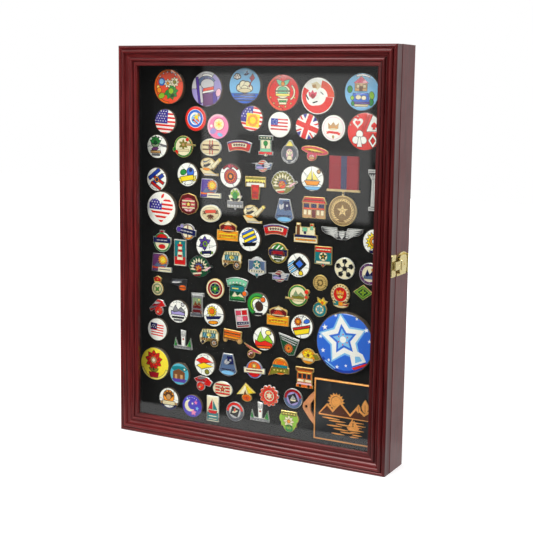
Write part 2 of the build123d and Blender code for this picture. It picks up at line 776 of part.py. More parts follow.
for name, mid in zip(("lower", "upper"), hinge_mids):
    low = mid - hinge_length / 2
    high = mid + hinge_length / 2
    half_apart = knuckle_apart / 2
    end_spans = [(low, low + knuckle_third - half_apart), (high - knuckle_third + half_apart, high)]
    mid_span = [(low + knuckle_third + half_apart, high - knuckle_third - half_apart)]
    with BuildPart() as case_leaf:
        hinge_leaf(mid, end_spans, case_leaf_face, case_leaf_face + leaf)
        head_holes(case_leaf_seats, leaf_screw, 2 * leaf)
    save(case_leaf, f"hinge_case_leaf_{name}")
    with BuildPart() as door_leaf:
        hinge_leaf(mid, mid_span, door_leaf_face, door_leaf_face - leaf)
        head_holes(door_leaf_seats, leaf_screw, 2 * leaf)
    save(door_leaf, f"hinge_door_leaf_{name}")
    with BuildPart() as hinge_pin:
        with Locations((axis_x, front_y + seam, mid)):
            Cylinder(hinge_pin_r, hinge_length + 2 * hinge_pin_over)
        for z, way in ((low - end_play, -1), (high + end_play, 1)):
            with BuildSketch(Plane(origin=(axis_x, front_y + seam, z), z_dir=(0, 0, way))):
                Circle(hinge_pin_head_r)
            extrude(amount=hinge_pin_head, taper=hinge_pin_head_taper)
    save(hinge_pin, f"hinge_pin_{name}")

flat_head_screws("hinge_case_screws", case_leaf_seats, leaf_screw)
flat_head_screws("hinge_door_screws", door_leaf_seats, leaf_screw)

# ---- Catch -----------------------------------------------------------------------------------
# Drawn on the right side face: sketch X is the depth, sketch Y is the height about mid_z.

side_face = Plane(origin=(catch_x, front_y, mid_z), x_dir=(0, 1, 0), z_dir=(1, 0, 0))
catch_axis_x = catch_x + catch_axis_stand
catch_axis = (catch_axis_x, front_y + catch_axis_back)
lever_low = catch_plate + lug_height + lever_clear
ear_low = catch_knuckle / 2 + ear_gap
ear_high = catch_height / 2 - ear_inset
lever_width = catch_height - 2 * lever_inset

with BuildPart() as strike:
    with BuildSketch(side_face):
        with Locations(((strike_front + strike_back) / 2, 0)):
            RectangleRounded(strike_back - strike_front, catch_height, catch_corner)
    extrude(amount=catch_plate, taper=strike_taper)
    with BuildSketch(side_face.offset(catch_plate)):
        with Locations((lug_from_front + lug_width / 2, 0)):
            Rectangle(lug_width, lug_length)
    extrude(amount=lug_height)
    head_holes(strike_seats, plate_screw, 2 * catch_plate)
save(strike, "catch_strike")


def catch_barrel(low, high):
    """A length of barrel about the catch's axis; called inside a BuildPart block."""
    with Locations((*catch_axis, mid_z + (low + high) / 2)):
        Cylinder(catch_knuckle_r, high - low)


def catch_bore():
    with Locations((*catch_axis, mid_z)):
        Cylinder(catch_pin_r + hinge_running, catch_height, mode=Mode.SUBTRACT)


with BuildPart() as catch_base:
    with BuildSketch(side_face):
        with BuildLine():
            half = catch_height / 2
            middle = (base_front + base_back) / 2
            front_top = (base_front, half - base_corner_drop)
            back_top = (base_back, half - base_corner_drop / 2)
            Polyline(front_top, (base_front, -half), (base_back, -half), back_top)
            ThreePointArc(back_top, (middle, half + base_edge_rise), front_top)
        make_face()
    extrude(amount=catch_plate)
    for low, high in ((-ear_high, -ear_low), (ear_low, ear_high)):
        catch_barrel(low, high)
        with BuildSketch(side_face):
            with Locations((catch_axis_back, (low + high) / 2)):
                Rectangle(2 * catch_knuckle_r, high - low)
        extrude(amount=catch_axis_stand)
    catch_bore()
    head_holes(base_seats, plate_screw, 2 * catch_plate)
save(catch_base, "catch_base")

lever_rear = catch_axis_back - catch_knuckle_r - lever_short_of_barrel
claw_front = lug_from_front - claw_gap - claw
claw_low = catch_plate + claw_gap
lever_mid = (lever_front + lever_rear) / 2
with BuildPart() as lever:
    with BuildSketch(side_face.offset(lever_low)):
        with Locations((lever_mid, 0)):
            RectangleRounded(lever_rear - lever_front, lever_width, lever_corner)
        with Locations(((claw_front + lever_front + catch_corner) / 2, 0)):
            Rectangle(lever_front + catch_corner - claw_front, tongue_width)
        with Locations(((lever_rear - catch_corner + catch_axis_back) / 2, 0)):
            Rectangle(catch_axis_back - lever_rear + catch_corner, catch_knuckle)
    extrude(amount=lever_plate)
    # skirts along the lever's edges, down towards the base plate
    for way in (-1, 1):
        with BuildSketch(side_face.offset(claw_low)):
            with Locations((lever_mid, way * (lever_width - skirt) / 2)):
                Rectangle(lever_rear - lever_front - 2 * lever_corner, skirt)
        extrude(amount=lever_low - claw_low + lever_plate / 2)
    # claw in front of the lug
    with BuildSketch(side_face.offset(claw_low)):
        with Locations((claw_front + claw / 2, 0)):
            Rectangle(claw, tongue_width)
    extrude(amount=lever_low - claw_low + lever_plate / 2)
    with BuildSketch(side_face.offset(lever_low + lever_plate)):
        with Locations((lever_mid, 0)):
            RectangleRounded(boss_length, boss_width, boss_corner)
    extrude(amount=boss_raise, taper=boss_taper)
    with BuildSketch(side_face.offset(lever_low + lever_plate + boss_raise)):
        with Locations((lever_mid + dimple_behind_middle, 0)):
            Circle(dimple_r)
    extrude(amount=-dimple_depth, mode=Mode.SUBTRACT)
    catch_barrel(-catch_knuckle / 2, catch_knuckle / 2)
    catch_bore()
save(lever, "catch_lever")

with BuildPart() as catch_pin:
    with Locations((*catch_axis, mid_z)):
        Cylinder(catch_pin_r, 2 * (ear_high + catch_pin_over))
    for way in (-1, 1):
        with BuildSketch(Plane(origin=(*catch_axis, mid_z + way * (ear_high + end_play)), z_dir=(0, 0, way))):
            Circle(catch_pin_head_r)
        extrude(amount=catch_pin_head)
save(catch_pin, "catch_pin")
flat_head_screws("strike_screws", strike_seats, plate_screw)
flat_head_screws("catch_base_screws", base_seats, plate_screw)

# ---- Pins and badges ---------------------------------------------------------------------------


def posts(places, into=post_into):
    """Pins' posts at places on the felt; called inside a BuildPart block."""
    with Locations(*post_seats(places, into)):
        Cylinder(post_r, post_length + into, align=(Align.CENTER, Align.CENTER, Align.MAX))


def button_badge(place, diameter, height):
    """A domed shell on its rim, with a bar across behind."""
    x, z = on_felt(place)
    r = diameter / 2 * pin_scale
    shoulder = badge_shoulder * r
    drop = badge_fall * height
    bar_width, bar_thick = badge_bar
    section_plane = Plane(origin=(x, front_y + felt_front, z), x_dir=(1, 0, 0), z_dir=(0, 0, 1))
    centre = Axis((x, front_y + felt_front, z), (0, 1, 0))
    with BuildPart() as badge:
        with BuildSketch(section_plane):
            with BuildLine():
                for inset in (0.0, badge_shell):
                    top = height - inset
                    edge = r - inset
                    curl = 0.22 * (edge - shoulder)
                    fall = top - drop - badge_edge
                    ThreePointArc((0, -top), (shoulder / 2, -top + drop * 0.28), (shoulder, -top + drop))
                    ThreePointArc((shoulder, -top + drop), (edge - curl, -badge_edge - 0.5 * fall),
                                  (edge, -badge_edge))
                    Line((edge, -badge_edge), (edge, 0))
                Line((r, 0), (r - badge_shell, 0))
                Line((0, -height), (0, -height + badge_shell))
            make_face()
        revolve(axis=centre)
        with BuildSketch(felt_plane):
            with Locations((x, z)):
                Rectangle(2 * r - badge_shell, bar_width)
        extrude(amount=bar_thick)
    return badge.part


badge_sets = [
    ("badges_large", large_places, large_badge, large_badge_height),
    ("badges_print", print_places, print_badge, small_badge_height),
    ("badges_white", white_places, white_badge, small_badge_height),
    ("badge_grand", [grand_place], grand_badge, grand_badge_height),
]
for label, places, diameter, height in badge_sets:
    blanks = [button_badge(place, diameter, height) for place in places]
    with BuildPart() as badges:
        add(blanks)
        posts([on_felt(place) for place in places])
    save(badges, label)

for label, pins in enamel_sets.items():
    with BuildPart() as enamel_pins:
        for shape, place in pins:
            spot = on_felt(place)
            with BuildSketch(felt_plane):
                with Locations(spot):
                    add(shape.scale(pin_scale))
            extrude(amount=pin_plate)
        posts([on_felt(place) for _, place in pins])
    save(enamel_pins, label)

# ---- Award medal ----------------------------------------------------------------------------------

ribbon_low = ribbon_z - ribbon_drop / 2 * pin_scale
bar_z = ribbon_low - medal_bar_height / 2
bar_eye_z = bar_z - medal_bar_height / 2 - bar_eye_drop
ring_z = bar_eye_z - ring_r
disc_eye_z = ring_z - ring_r
disc_z = disc_eye_z - medal_d / 2 * pin_scale - disc_eye_rise
eye_y = front_y + felt_front - eye_stand

with BuildPart() as ribbon_fold:
    with BuildSketch(felt_plane):
        with Locations((ribbon_x, ribbon_z)):
            Rectangle(ribbon_width * pin_scale, ribbon_drop * pin_scale)
    extrude(amount=ribbon)
    posts(ribbon_posts)
save(ribbon_fold, "medal_ribbon")


def eyelet(z):
    """A flat eye on edge, with its hole along X; called inside a BuildPart block."""
    with Locations(Plane(origin=(ribbon_x, eye_y, z), z_dir=(1, 0, 0))):
        Cylinder(eye_r, eye)
        Cylinder(eye_hole_r, 2 * eye, mode=Mode.SUBTRACT)


with BuildPart() as suspender:
    with BuildSketch(felt_plane):
        with Locations((ribbon_x, bar_z)):
            Rectangle(medal_bar_width * pin_scale, medal_bar_height)
    extrude(amount=medal_bar)
    eyelet(bar_eye_z)
save(suspender, "medal_bar")

with BuildPart() as jump_ring:
    with Locations(Plane(origin=(ribbon_x, eye_y, ring_z), z_dir=(0, 1, 0))):
        Torus(ring_r, ring_wire_r)
save(jump_ring, "medal_ring")

with BuildPart() as medal:
    with BuildSketch(felt_plane):
        with Locations((ribbon_x, disc_z)):
            Circle(medal_d / 2 * pin_scale)
    extrude(amount=medal_disc)
    eyelet(disc_eye_z)
save(medal, "medal_disc")

# ---- Wings, column and plaque ----------------------------------------------------------------------

half_wing = [(3.5, 3), (5.5, 3), (6.5, 6.5), (25, 6.5), (24, 2.5), (20, -0.5), (12, -2.5), (6, -6)]
wings_outline = outline(patch(*half_wing, (0, -6.5), (0, 3.5)),
                        patch(*[(-x, y) for x, y in half_wing], (0, -6.5), (0, 3.5)))
column_outline = outline(patch((-3, -18), (3, -18), (2.2, 12), (-2.2, 12)), bar(11, 4, 0, -20),
                         patch((-2.5, 11), (2.5, 11), (6.5, 18), (-6.5, 18)), bar(13, 4, 0, 20))

for label, shape, place, thick in (("pilot_wings", wings_outline, wings_place, wings),
                                   ("silver_column", column_outline, column_place, column)):
    spot = on_felt(place)
    with BuildPart() as metal_pin:
        with BuildSketch(felt_plane):
            with Locations(spot):
                add(shape.scale(pin_scale))
        extrude(amount=thick)
        posts([spot])
    save(metal_pin, label)

plaque_x, plaque_z = on_felt(plaque_place)
plaque_w = plaque_width * pin_scale
plaque_h = plaque_height * pin_scale
with BuildPart() as relief_plaque:
    with BuildSketch(felt_plane):
        with Locations((plaque_x, plaque_z)):
            Rectangle(plaque_w, plaque_h)
    extrude(amount=plaque)
    with BuildSketch(felt_plane.offset(plaque)):
        with Locations((plaque_x, plaque_z)):
            Rectangle(plaque_w - 2 * plaque_rim, plaque_h - 2 * plaque_rim)
    extrude(amount=-plaque_sink, mode=Mode.SUBTRACT)
    posts([(plaque_x, plaque_z)])
save(relief_plaque, "plaque")

with BuildPart() as plaque_loop:
    edge = plaque_x - plaque_w / 2
    reach = loop_reach * pin_scale
    grip = loop_grip * pin_scale
    with BuildSketch(felt_plane):
        with BuildLine():
            Polyline((edge, plaque_z + grip), (edge - 0.4 * reach, plaque_z + 0.72 * grip),
                     (edge - reach, plaque_z + 0.18 * grip))
            ThreePointArc((edge - reach, plaque_z + 0.18 * grip), (edge - 1.06 * reach, plaque_z),
                          (edge - reach, plaque_z - 0.18 * grip))
            Polyline((edge - reach, plaque_z - 0.18 * grip), (edge - 0.4 * reach, plaque_z - 0.72 * grip),
                     (edge, plaque_z - grip), (edge, plaque_z + grip))
        make_face()
        with BuildLine():
            Polyline((edge, plaque_z + 0.6 * grip), (edge - 0.36 * reach, plaque_z + 0.2 * grip),
                     (edge - 0.36 * reach, plaque_z - 0.2 * grip), (edge, plaque_z - 0.6 * grip), close=True)
        make_face(mode=Mode.SUBTRACT)
        with Locations((edge - 0.75 * reach, plaque_z)):
            Circle(loop_hole_r * pin_scale, mode=Mode.SUBTRACT)
    extrude(amount=loop)
save(plaque_loop, "plaque_loop")
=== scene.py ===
import math

import bmesh
import bpy
from mathutils import Euler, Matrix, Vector, geometry


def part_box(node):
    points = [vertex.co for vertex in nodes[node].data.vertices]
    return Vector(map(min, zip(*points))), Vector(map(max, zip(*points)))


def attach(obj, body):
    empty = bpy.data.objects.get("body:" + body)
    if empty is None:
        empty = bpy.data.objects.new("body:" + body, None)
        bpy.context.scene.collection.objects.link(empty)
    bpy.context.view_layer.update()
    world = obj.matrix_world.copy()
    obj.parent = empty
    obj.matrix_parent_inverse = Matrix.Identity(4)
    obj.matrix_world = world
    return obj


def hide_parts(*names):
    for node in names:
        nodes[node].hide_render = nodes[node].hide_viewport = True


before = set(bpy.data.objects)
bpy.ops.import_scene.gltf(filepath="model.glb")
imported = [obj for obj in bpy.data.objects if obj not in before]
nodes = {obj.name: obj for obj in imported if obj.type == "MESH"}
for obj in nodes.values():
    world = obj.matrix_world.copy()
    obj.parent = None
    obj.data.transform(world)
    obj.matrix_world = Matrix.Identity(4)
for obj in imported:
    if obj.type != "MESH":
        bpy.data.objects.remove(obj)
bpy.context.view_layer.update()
mm = 0.001
alongX = (0, math.pi / 2, 0)  # turns grain from upright to crossways


def linear(rgb):
    # colours are written 0 to 255 as on a colour chart, and turned linear here
    return tuple((c / 255 / 12.92) if c <= 10.3 else ((c / 255 + 0.055) / 1.055) ** 2.4 for c in rgb)


def solid(rgb):
    return (*linear(rgb), 1.0)


# small helpers for node trees

def put(tree, kind, settings=None, **inputs):
    # adds a node, sets or links its inputs and gives its outputs; at0 is the first input
    node = tree.nodes.new(kind)
    for name, value in (settings or {}).items():
        setattr(node, name, value)
    for name, value in inputs.items():
        socket = node.inputs[int(name[2:]) if name.startswith("at") else name.replace("_", " ")]
        if isinstance(value, bpy.types.NodeSocket):
            tree.links.new(value, socket)
        else:
            socket.default_value = value
    return node.outputs


def combine(tree, kind, *values):
    return put(tree, "ShaderNodeMath", {"operation": kind}, **{f"at{i}": v for i, v in enumerate(values)})[0]


def remap(tree, value, fromLow, fromHigh, toLow=0.0, toHigh=1.0):
    return put(tree, "ShaderNodeMapRange", Value=value, From_Min=fromLow, From_Max=fromHigh,
               To_Min=toLow, To_Max=toHigh)[0]


def mottle(tree, place, scale, detail, roughness=0.5, distortion=0.0):
    return put(tree, "ShaderNodeTexNoise", Vector=place, Scale=scale, Detail=detail, Roughness=roughness,
               Distortion=distortion)[0]


def split(tree, place):
    return put(tree, "ShaderNodeSeparateXYZ", Vector=place)


def objectPlace(tree, scale=(1, 1, 1), turn=(0, 0, 0)):
    where = put(tree, "ShaderNodeTexCoord")["Object"]
    return put(tree, "ShaderNodeMapping", Vector=where, Scale=scale, Rotation=turn)[0]


def blendColours(tree, amount, low, high, kind="MIX"):
    return put(tree, "ShaderNodeMix", {"data_type": "RGBA", "blend_type": kind}, at0=amount, at6=low, at7=high)[2]


def blendValues(tree, amount, low, high):
    return put(tree, "ShaderNodeMix", {"data_type": "FLOAT"}, at0=amount, at2=low, at3=high)[0]


def shaded(tree, colour, share):
    # the colour darkened by a share from 0 to 1
    grey = put(tree, "ShaderNodeCombineColor", Red=share, Green=share, Blue=share)[0]
    return blendColours(tree, 1.0, colour, grey, "MULTIPLY")


def twoTone(tree, look, amount):
    return blendColours(tree, amount, solid(look["dark"]), solid(look["light"]))


def bump(tree, height, distance, strength=1.0):
    return put(tree, "ShaderNodeBump", Height=height, Distance=distance, Strength=strength)[0]


def startMaterial(name, **inputs):
    material = bpy.data.materials.new(name)
    material.use_nodes = True
    shader = material.node_tree.nodes["Principled BSDF"]
    for socket, value in inputs.items():
        shader.inputs[socket.replace("_", " ")].default_value = value
    return material, material.node_tree, shader


def dress(tree, shader, **inputs):
    # what varies over the surface goes into the shader
    for socket, value in inputs.items():
        tree.links.new(value, shader.inputs[socket.replace("_", " ")])


def showMix(tree, amount, first, second):
    # the surface is the first shader where the amount is 0 and the second where it is 1
    mixed = put(tree, "ShaderNodeMixShader", at0=amount, at1=first, at2=second)[0]
    tree.links.new(mixed, tree.nodes["Material Output"].inputs["Surface"])


def nodeGroup(kind, name, inputs, outputs):
    # sockets are (title, type, value), and the value may be left out
    group = bpy.data.node_groups.new(name, kind)
    for way, sockets in (("INPUT", inputs), ("OUTPUT", outputs)):
        for title, form, *value in sockets:
            socket = group.interface.new_socket(title, in_out=way, socket_type="NodeSocket" + form)
            if value:
                socket.default_value = value[0]
    return group, group.nodes.new("NodeGroupInput").outputs, group.nodes.new("NodeGroupOutput").inputs


def useGroup(tree, group, **inputs):
    return put(tree, "ShaderNodeGroup", {"node_tree": group}, **inputs)


def makeGrainGroup():
    # streaks along Z: fine pores and a wider figure
    tree, given, wanted = nodeGroup(
        "ShaderNodeTree", "grain",
        [("Vector", "Vector"), ("Figure", "Float", 26.0), ("Pores", "Float", 520.0), ("Stretch", "Float", 0.035)],
        [("Figure", "Float"), ("Pores", "Float")])
    squeeze = put(tree, "ShaderNodeCombineXYZ", X=1.0, Y=1.0, Z=given["Stretch"])[0]
    along = put(tree, "ShaderNodeVectorMath", {"operation": "MULTIPLY"}, at0=given["Vector"], at1=squeeze)[0]
    figure = mottle(tree, along, given["Figure"], 5.0, 0.62, 0.35)
    pores = mottle(tree, along, given["Pores"], 3.0, 0.7)
    tree.links.new(remap(tree, figure, 0.3, 0.7), wanted["Figure"])
    tree.links.new(remap(tree, pores, 0.35, 0.62), wanted["Pores"])
    return tree


def makeHandlingGroup():
    # dull patches and hair scratches that come from years of handling
    tree, given, wanted = nodeGroup(
        "ShaderNodeTree", "handling",
        [("Vector", "Vector"), ("Patches", "Float", 40.0), ("Scratches", "Float", 300.0)],
        [("Dull", "Float"), ("Scratch", "Float")])
    patches = mottle(tree, given["Vector"], given["Patches"], 4.0, 0.6)
    slanted = put(tree, "ShaderNodeMapping", Vector=given["Vector"], Rotation=(0.3, 0.9, 0.4),
                  Scale=(1.0, 0.05, 1.0))[0]
    lines = mottle(tree, slanted, given["Scratches"], 2.0, 0.75)
    tree.links.new(remap(tree, patches, 0.38, 0.68), wanted["Dull"])
    tree.links.new(remap(tree, lines, 0.58, 0.72), wanted["Scratch"])
    return tree


def makeWeaveGroup():
    # crossing threads, as heights
    tree, given, wanted = nodeGroup(
        "ShaderNodeTree", "weave", [("Vector", "Vector"), ("Warp", "Float", 5200.0), ("Weft", "Float", 2600.0)],
        [("Height", "Float")])
    ways = split(tree, given["Vector"])
    threads = [combine(tree, "SINE", combine(tree, "MULTIPLY", ways[way], given[title]))
               for way, title in ((0, "Warp"), (2, "Weft"))]
    tree.links.new(combine(tree, "MULTIPLY", *threads), wanted["Height"])
    return tree


grainGroup, handlingGroup, weaveGroup = makeGrainGroup(), makeHandlingGroup(), makeWeaveGroup()

# wood

lacquer = {
    "dark": (84, 18, 20), "light": (106, 28, 29), "pore": (38, 7, 9), "poreInk": 0.75, "poreDepth": 0.00002,
    "coat": 0.36, "coatRoughness": 0.10, "roughness": (0.30, 0.42), "shine": 0.35, "sheen": (1.0, 0.5, 0.48),
    "patches": 22.0, "sideFrom": (0.1738, 0.1748),
}
bareWood = {
    "dark": (150, 116, 78), "light": (196, 164, 120), "pore": (120, 88, 56), "poreInk": 0.5, "poreDepth": 0.0001,
    "roughness": (0.75, 0.6), "figure": 60.0, "pores": 900.0,
}


def woodGrain(tree, look, place, **scales):
    # the wood's colour and its pores
    grain = useGroup(tree, grainGroup, Vector=place, **scales)
    ink = remap(tree, grain["Pores"], 0.0, 1.0, look["poreInk"], 0.0)
    return blendColours(tree, ink, twoTone(tree, look, grain["Figure"]), solid(look["pore"])), grain["Pores"]


def lacqueredWood(name, turn=(0, 0, 0), paintedShadeShare=1.0):
    # painted shade: the share darkens the front only, up to where the side begins, for a stile that stands in shade
    material, tree, shader = startMaterial(
        name, Coat_Weight=lacquer["coat"], Coat_IOR=1.5, Coat_Roughness=lacquer["coatRoughness"],
        Specular_IOR_Level=lacquer["shine"], Specular_Tint=(*lacquer["sheen"], 1.0))
    place = objectPlace(tree, turn=turn)
    colour, pores = woodGrain(tree, lacquer, place)
    handling = useGroup(tree, handlingGroup, Vector=place, Patches=lacquer["patches"])
    kept = remap(tree, split(tree, objectPlace(tree))[0], *lacquer["sideFrom"], paintedShadeShare, 1.0)
    dress(tree, shader, Base_Color=shaded(tree, colour, kept),
          Roughness=remap(tree, handling["Dull"], 0.0, 1.0, *lacquer["roughness"]),
          Normal=bump(tree, pores, lacquer["poreDepth"], 0.5))
    return material


def softwood(name):
    material, tree, shader = startMaterial(name)
    colour, pores = woodGrain(tree, bareWood, objectPlace(tree, turn=alongX), Figure=bareWood["figure"],
                              Pores=bareWood["pores"])
    dress(tree, shader, Base_Color=colour, Roughness=remap(tree, pores, 0.0, 1.0, *bareWood["roughness"]),
          Normal=bump(tree, pores, bareWood["poreDepth"], 0.6))
    return material


# boards and cloth

boards = {
    "backBoard": {"dark": (74, 48, 30), "light": (122, 84, 54), "fibre": 900.0},
    "corkBoard": {"dark": (120, 84, 52), "light": (178, 134, 88), "fibre": 420.0},
}
feltCloth = {"dark": (8, 8, 8), "light": (24, 24, 23), "fuzz": 2600.0, "sheen": 0.04, "nap": 0.0003}
medalRibbon = {"dark": (134, 18, 30), "light": (158, 24, 38), "stripe": (52, 56, 92), "stripeWidth": 7.0,
               "edge": 0.2, "moire": 90.0, "roughness": (0.62, 0.42), "threads": 0.0001}


def overlaid(tree, fine, broad, share):
    return combine(tree, "ADD", combine(tree, "MULTIPLY", fine, share), combine(tree, "MULTIPLY", broad, 1 - share))


def hardboard(name):
    look = boards[name]
    material, tree, shader = startMaterial(name)
    place = objectPlace(tree)
    mask = overlaid(tree, mottle(tree, place, look["fibre"], 4.0, 0.7, 1.2),
                    mottle(tree, place, look["fibre"] / 30, 3.0), 0.7)
    dress(tree, shader, Base_Color=twoTone(tree, look, remap(tree, mask, 0.35, 0.65)),
          Roughness=remap(tree, mask, 0.3, 0.7, 0.8, 0.55), Normal=bump(tree, mask, 0.0002, 0.5))
    return material


def felt(name):
    material, tree, shader = startMaterial(name, Roughness=0.95, Specular_IOR_Level=0.1,
                                           Sheen_Weight=feltCloth["sheen"], Sheen_Roughness=0.6)
    place = objectPlace(tree)
    mask = overlaid(tree, mottle(tree, place, feltCloth["fuzz"], 3.0, 0.8),
                    mottle(tree, place, feltCloth["fuzz"] / 12, 4.0, 0.5, 0.8), 0.6)
    dress(tree, shader, Base_Color=twoTone(tree, feltCloth, remap(tree, mask, 0.35, 0.68)),
          Normal=bump(tree, mask, feltCloth["nap"], 0.45))
    return material


def ribbonCloth(name, middle):
    # watered silk with one stripe down the middle
    material, tree, shader = startMaterial(name, Roughness=0.5, Sheen_Weight=0.15, Sheen_Roughness=0.35,
                                           Specular_IOR_Level=0.35)
    place = objectPlace(tree)
    across = combine(tree, "ABSOLUTE", combine(tree, "SUBTRACT", split(tree, place)[0], middle))
    half, edge = medalRibbon["stripeWidth"] / 2 * mm, medalRibbon["edge"] * mm
    stripe = remap(tree, across, half - edge, half + edge, 1.0, 0.0)
    water = mottle(tree, objectPlace(tree, scale=(1.0, 1.0, 3.5)), medalRibbon["moire"], 5.0, 0.65, 1.6)
    watered = remap(tree, water, 0.35, 0.65)
    threads = useGroup(tree, weaveGroup, Vector=place)
    dress(tree, shader,
          Base_Color=blendColours(tree, stripe, twoTone(tree, medalRibbon, watered), solid(medalRibbon["stripe"])),
          Roughness=remap(tree, watered, 0.0, 1.0, *medalRibbon["roughness"]),
          Normal=bump(tree, threads["Height"], medalRibbon["threads"], 0.5))
    return material


# metals, and painted work that reads each face's colour, with its alpha telling metal from paint

wear = {"bare": {"Patches": 120.0, "Scratches": 900.0}, "painted": {"Patches": 260.0, "Scratches": 1400.0}}
metals = {
    "brass": {"clean": (255, 240, 172), "worn": (238, 208, 128), "roughness": (0.12, 0.28), "metallic": 0.9},
    "zincSteel": {"clean": (176, 178, 182), "worn": (128, 130, 134), "roughness": (0.25, 0.45), "metallic": 1.0},
    "medalBronze": {"clean": (226, 204, 150), "worn": (178, 152, 100), "roughness": (0.30, 0.46), "metallic": 0.6},
    "roseCopper": {"clean": (232, 158, 108), "worn": (196, 122, 78), "roughness": (0.36, 0.52), "metallic": 0.5},
}
paintWork = {
    "enamel": {"paint": (0.10, 0.22), "metal": (0.26, 0.42), "metallic": 0.65, "coat": 0.4, "mottle": 0.10,
               "scale": 700.0, "grit": 0.00003},
    "printedTin": {"paint": (0.16, 0.26), "metal": (0.26, 0.4), "metallic": 0.8, "coat": 0.6, "mottle": 0.05,
                   "scale": 500.0, "grit": 0.00002},
    "wornSilver": {"paint": (0.45, 0.6), "metal": (0.36, 0.54), "metallic": 0.45, "coat": 0.0, "mottle": 0.2,
                   "scale": 500.0, "grit": 0.0001},
    "relief": {"paint": (0.35, 0.5), "metal": (0.36, 0.52), "metallic": 0.4, "coat": 0.1, "mottle": 0.2,
               "scale": 420.0, "grit": 0.0003},
}


def handled(tree, place, kind):
    # how dull it is, how scratched, and the greater of both
    handling = useGroup(tree, handlingGroup, Vector=place, **wear[kind])
    dull, scratch = handling["Dull"], handling["Scratch"]
    return dull, scratch, combine(tree, "MAXIMUM", dull, scratch)


def metal(name):
    look = metals[name]
    material, tree, shader = startMaterial(name, Metallic=look["metallic"])
    dull, scratch, worn = handled(tree, objectPlace(tree), "bare")
    tarnish = combine(tree, "MULTIPLY", dull, 0.6)
    dress(tree, shader, Base_Color=blendColours(tree, tarnish, solid(look["clean"]), solid(look["worn"])),
          Roughness=remap(tree, worn, 0.0, 1.0, *look["roughness"]),
          Normal=bump(tree, scratch, 0.00002, 0.35))
    return material


def paintedMetal(name):
    look = paintWork[name]
    material, tree, shader = startMaterial(name, Coat_Weight=look["coat"], Coat_Roughness=0.05)
    paint = put(tree, "ShaderNodeAttribute", {"attribute_name": "paint"})
    place = objectPlace(tree)
    speckle = mottle(tree, place, look["scale"], 3.0, 0.6)
    worn = handled(tree, place, "painted")[2]
    flat, shiny = [remap(tree, worn, 0.0, 1.0, *look[kind]) for kind in ("paint", "metal")]
    dress(tree, shader,
          Base_Color=shaded(tree, paint["Color"], remap(tree, speckle, 0.3, 0.7, 1.0 - look["mottle"], 1.0)),
          Metallic=combine(tree, "MULTIPLY", paint["Alpha"], look["metallic"]),
          Roughness=blendValues(tree, paint["Alpha"], flat, shiny), Normal=bump(tree, speckle, look["grit"], 0.3))
    return material


paneGlass = {"tint": (253, 254, 252), "ior": 1.5, "smears": 14.0, "smear": (0.0, 0.02)}


def clearGlass(name):
    # shadow rays pass the pane, so the lamps reach the pins
    material, tree, shader = startMaterial(name, Base_Color=solid(paneGlass["tint"]), Transmission_Weight=1.0,
                                           IOR=paneGlass["ior"])
    smear = mottle(tree, objectPlace(tree), paneGlass["smears"], 5.0)
    dress(tree, shader, Roughness=remap(tree, smear, 0.4, 0.7, *paneGlass["smear"]))
    clear = put(tree, "ShaderNodeBsdfTransparent", Color=solid(paneGlass["tint"]))[0]
    showMix(tree, put(tree, "ShaderNodeLightPath")["Is Shadow Ray"], shader.outputs[0], clear)
    return material


# flat artwork: each shape is (paint name, corner points in mm), and later ones lie on top

paints = {
    "white": (247, 246, 239), "cream": (242, 232, 196), "ivory": (228, 212, 168), "pearl": (206, 204, 206),
    "grey": (128, 128, 134), "smoke": (88, 90, 100), "charcoal": (44, 44, 50), "black": (16, 15, 18),
    "ink": (10, 15, 22), "putty": (92, 80, 68), "umber": (62, 38, 26), "brown": (120, 70, 36),
    "tan": (200, 154, 98), "maroon": (100, 18, 26), "crimson": (160, 14, 32), "red": (206, 22, 22),
    "scarlet": (230, 38, 26), "coral": (236, 78, 44), "orange": (238, 104, 20), "amber": (244, 152, 28),
    "yellow": (252, 220, 34), "sunny": (252, 228, 60), "lemon": (250, 232, 110), "olive": (128, 124, 38),
    "lime": (146, 196, 44), "green": (34, 138, 54), "forest": (14, 76, 44), "sage": (132, 156, 116),
    "mint": (126, 204, 164), "teal": (16, 122, 130), "aqua": (84, 180, 204), "sky": (128, 192, 236),
    "azure": (48, 106, 214), "blue": (22, 58, 164), "navy": (16, 24, 80), "slate": (84, 106, 144),
    "flagBlue": (56, 48, 146), "violet": (82, 54, 152), "indigo": (70, 60, 186), "lavender": (166, 152, 212),
    "plum": (104, 54, 108), "rose": (214, 70, 96), "pink": (244, 134, 180), "blush": (242, 190, 204),
}
platings = {
    "gold": (230, 196, 116), "silver": (222, 221, 218), "copper": (255, 176, 92), "bronze": (246, 216, 150),
    "darkGold": (104, 76, 34), "darkSilver": (72, 73, 76), "darkCopper": (92, 48, 30), "darkBronze": (146, 112, 64),
}
facePaint = {name: (*linear(rgb), 0.0) for name, rgb in paints.items()}
facePaint.update({name: (*linear(rgb), 1.0) for name, rgb in platings.items()})


def polar(r, angle, x=0.0, y=0.0):
    return x + r * math.cos(math.radians(angle)), y + r * math.sin(math.radians(angle))


def placed(points, x=0.0, y=0.0, turn=0.0, size=1.0):
    c, s = math.cos(math.radians(turn)) * size, math.sin(math.radians(turn)) * size
    return [(x + c * px - s * py, y + s * px + c * py) for px, py in points]


def moved(shapes, turn=0.0, size=1.0):
    return [(paint, placed(points, turn=turn, size=size)) for paint, points in shapes]


def ring(count, radius, start=0.0, sweep=360.0, squash=1.0):
    last = count if sweep == 360.0 else count - 1
    angles = [math.radians(start + sweep * i / last) for i in range(count)]
    return [(radius * math.cos(a), radius * squash * math.sin(a)) for a in angles]


def disc(paint, d, x=0.0, y=0.0):
    return paint, placed(ring(max(10, min(40, int(d * 2))), d / 2), x, y)


def oval(paint, w, h, x=0.0, y=0.0, turn=0.0):
    return paint, placed(ring(max(12, min(36, int(w * 2))), w / 2, squash=h / w), x, y, turn)


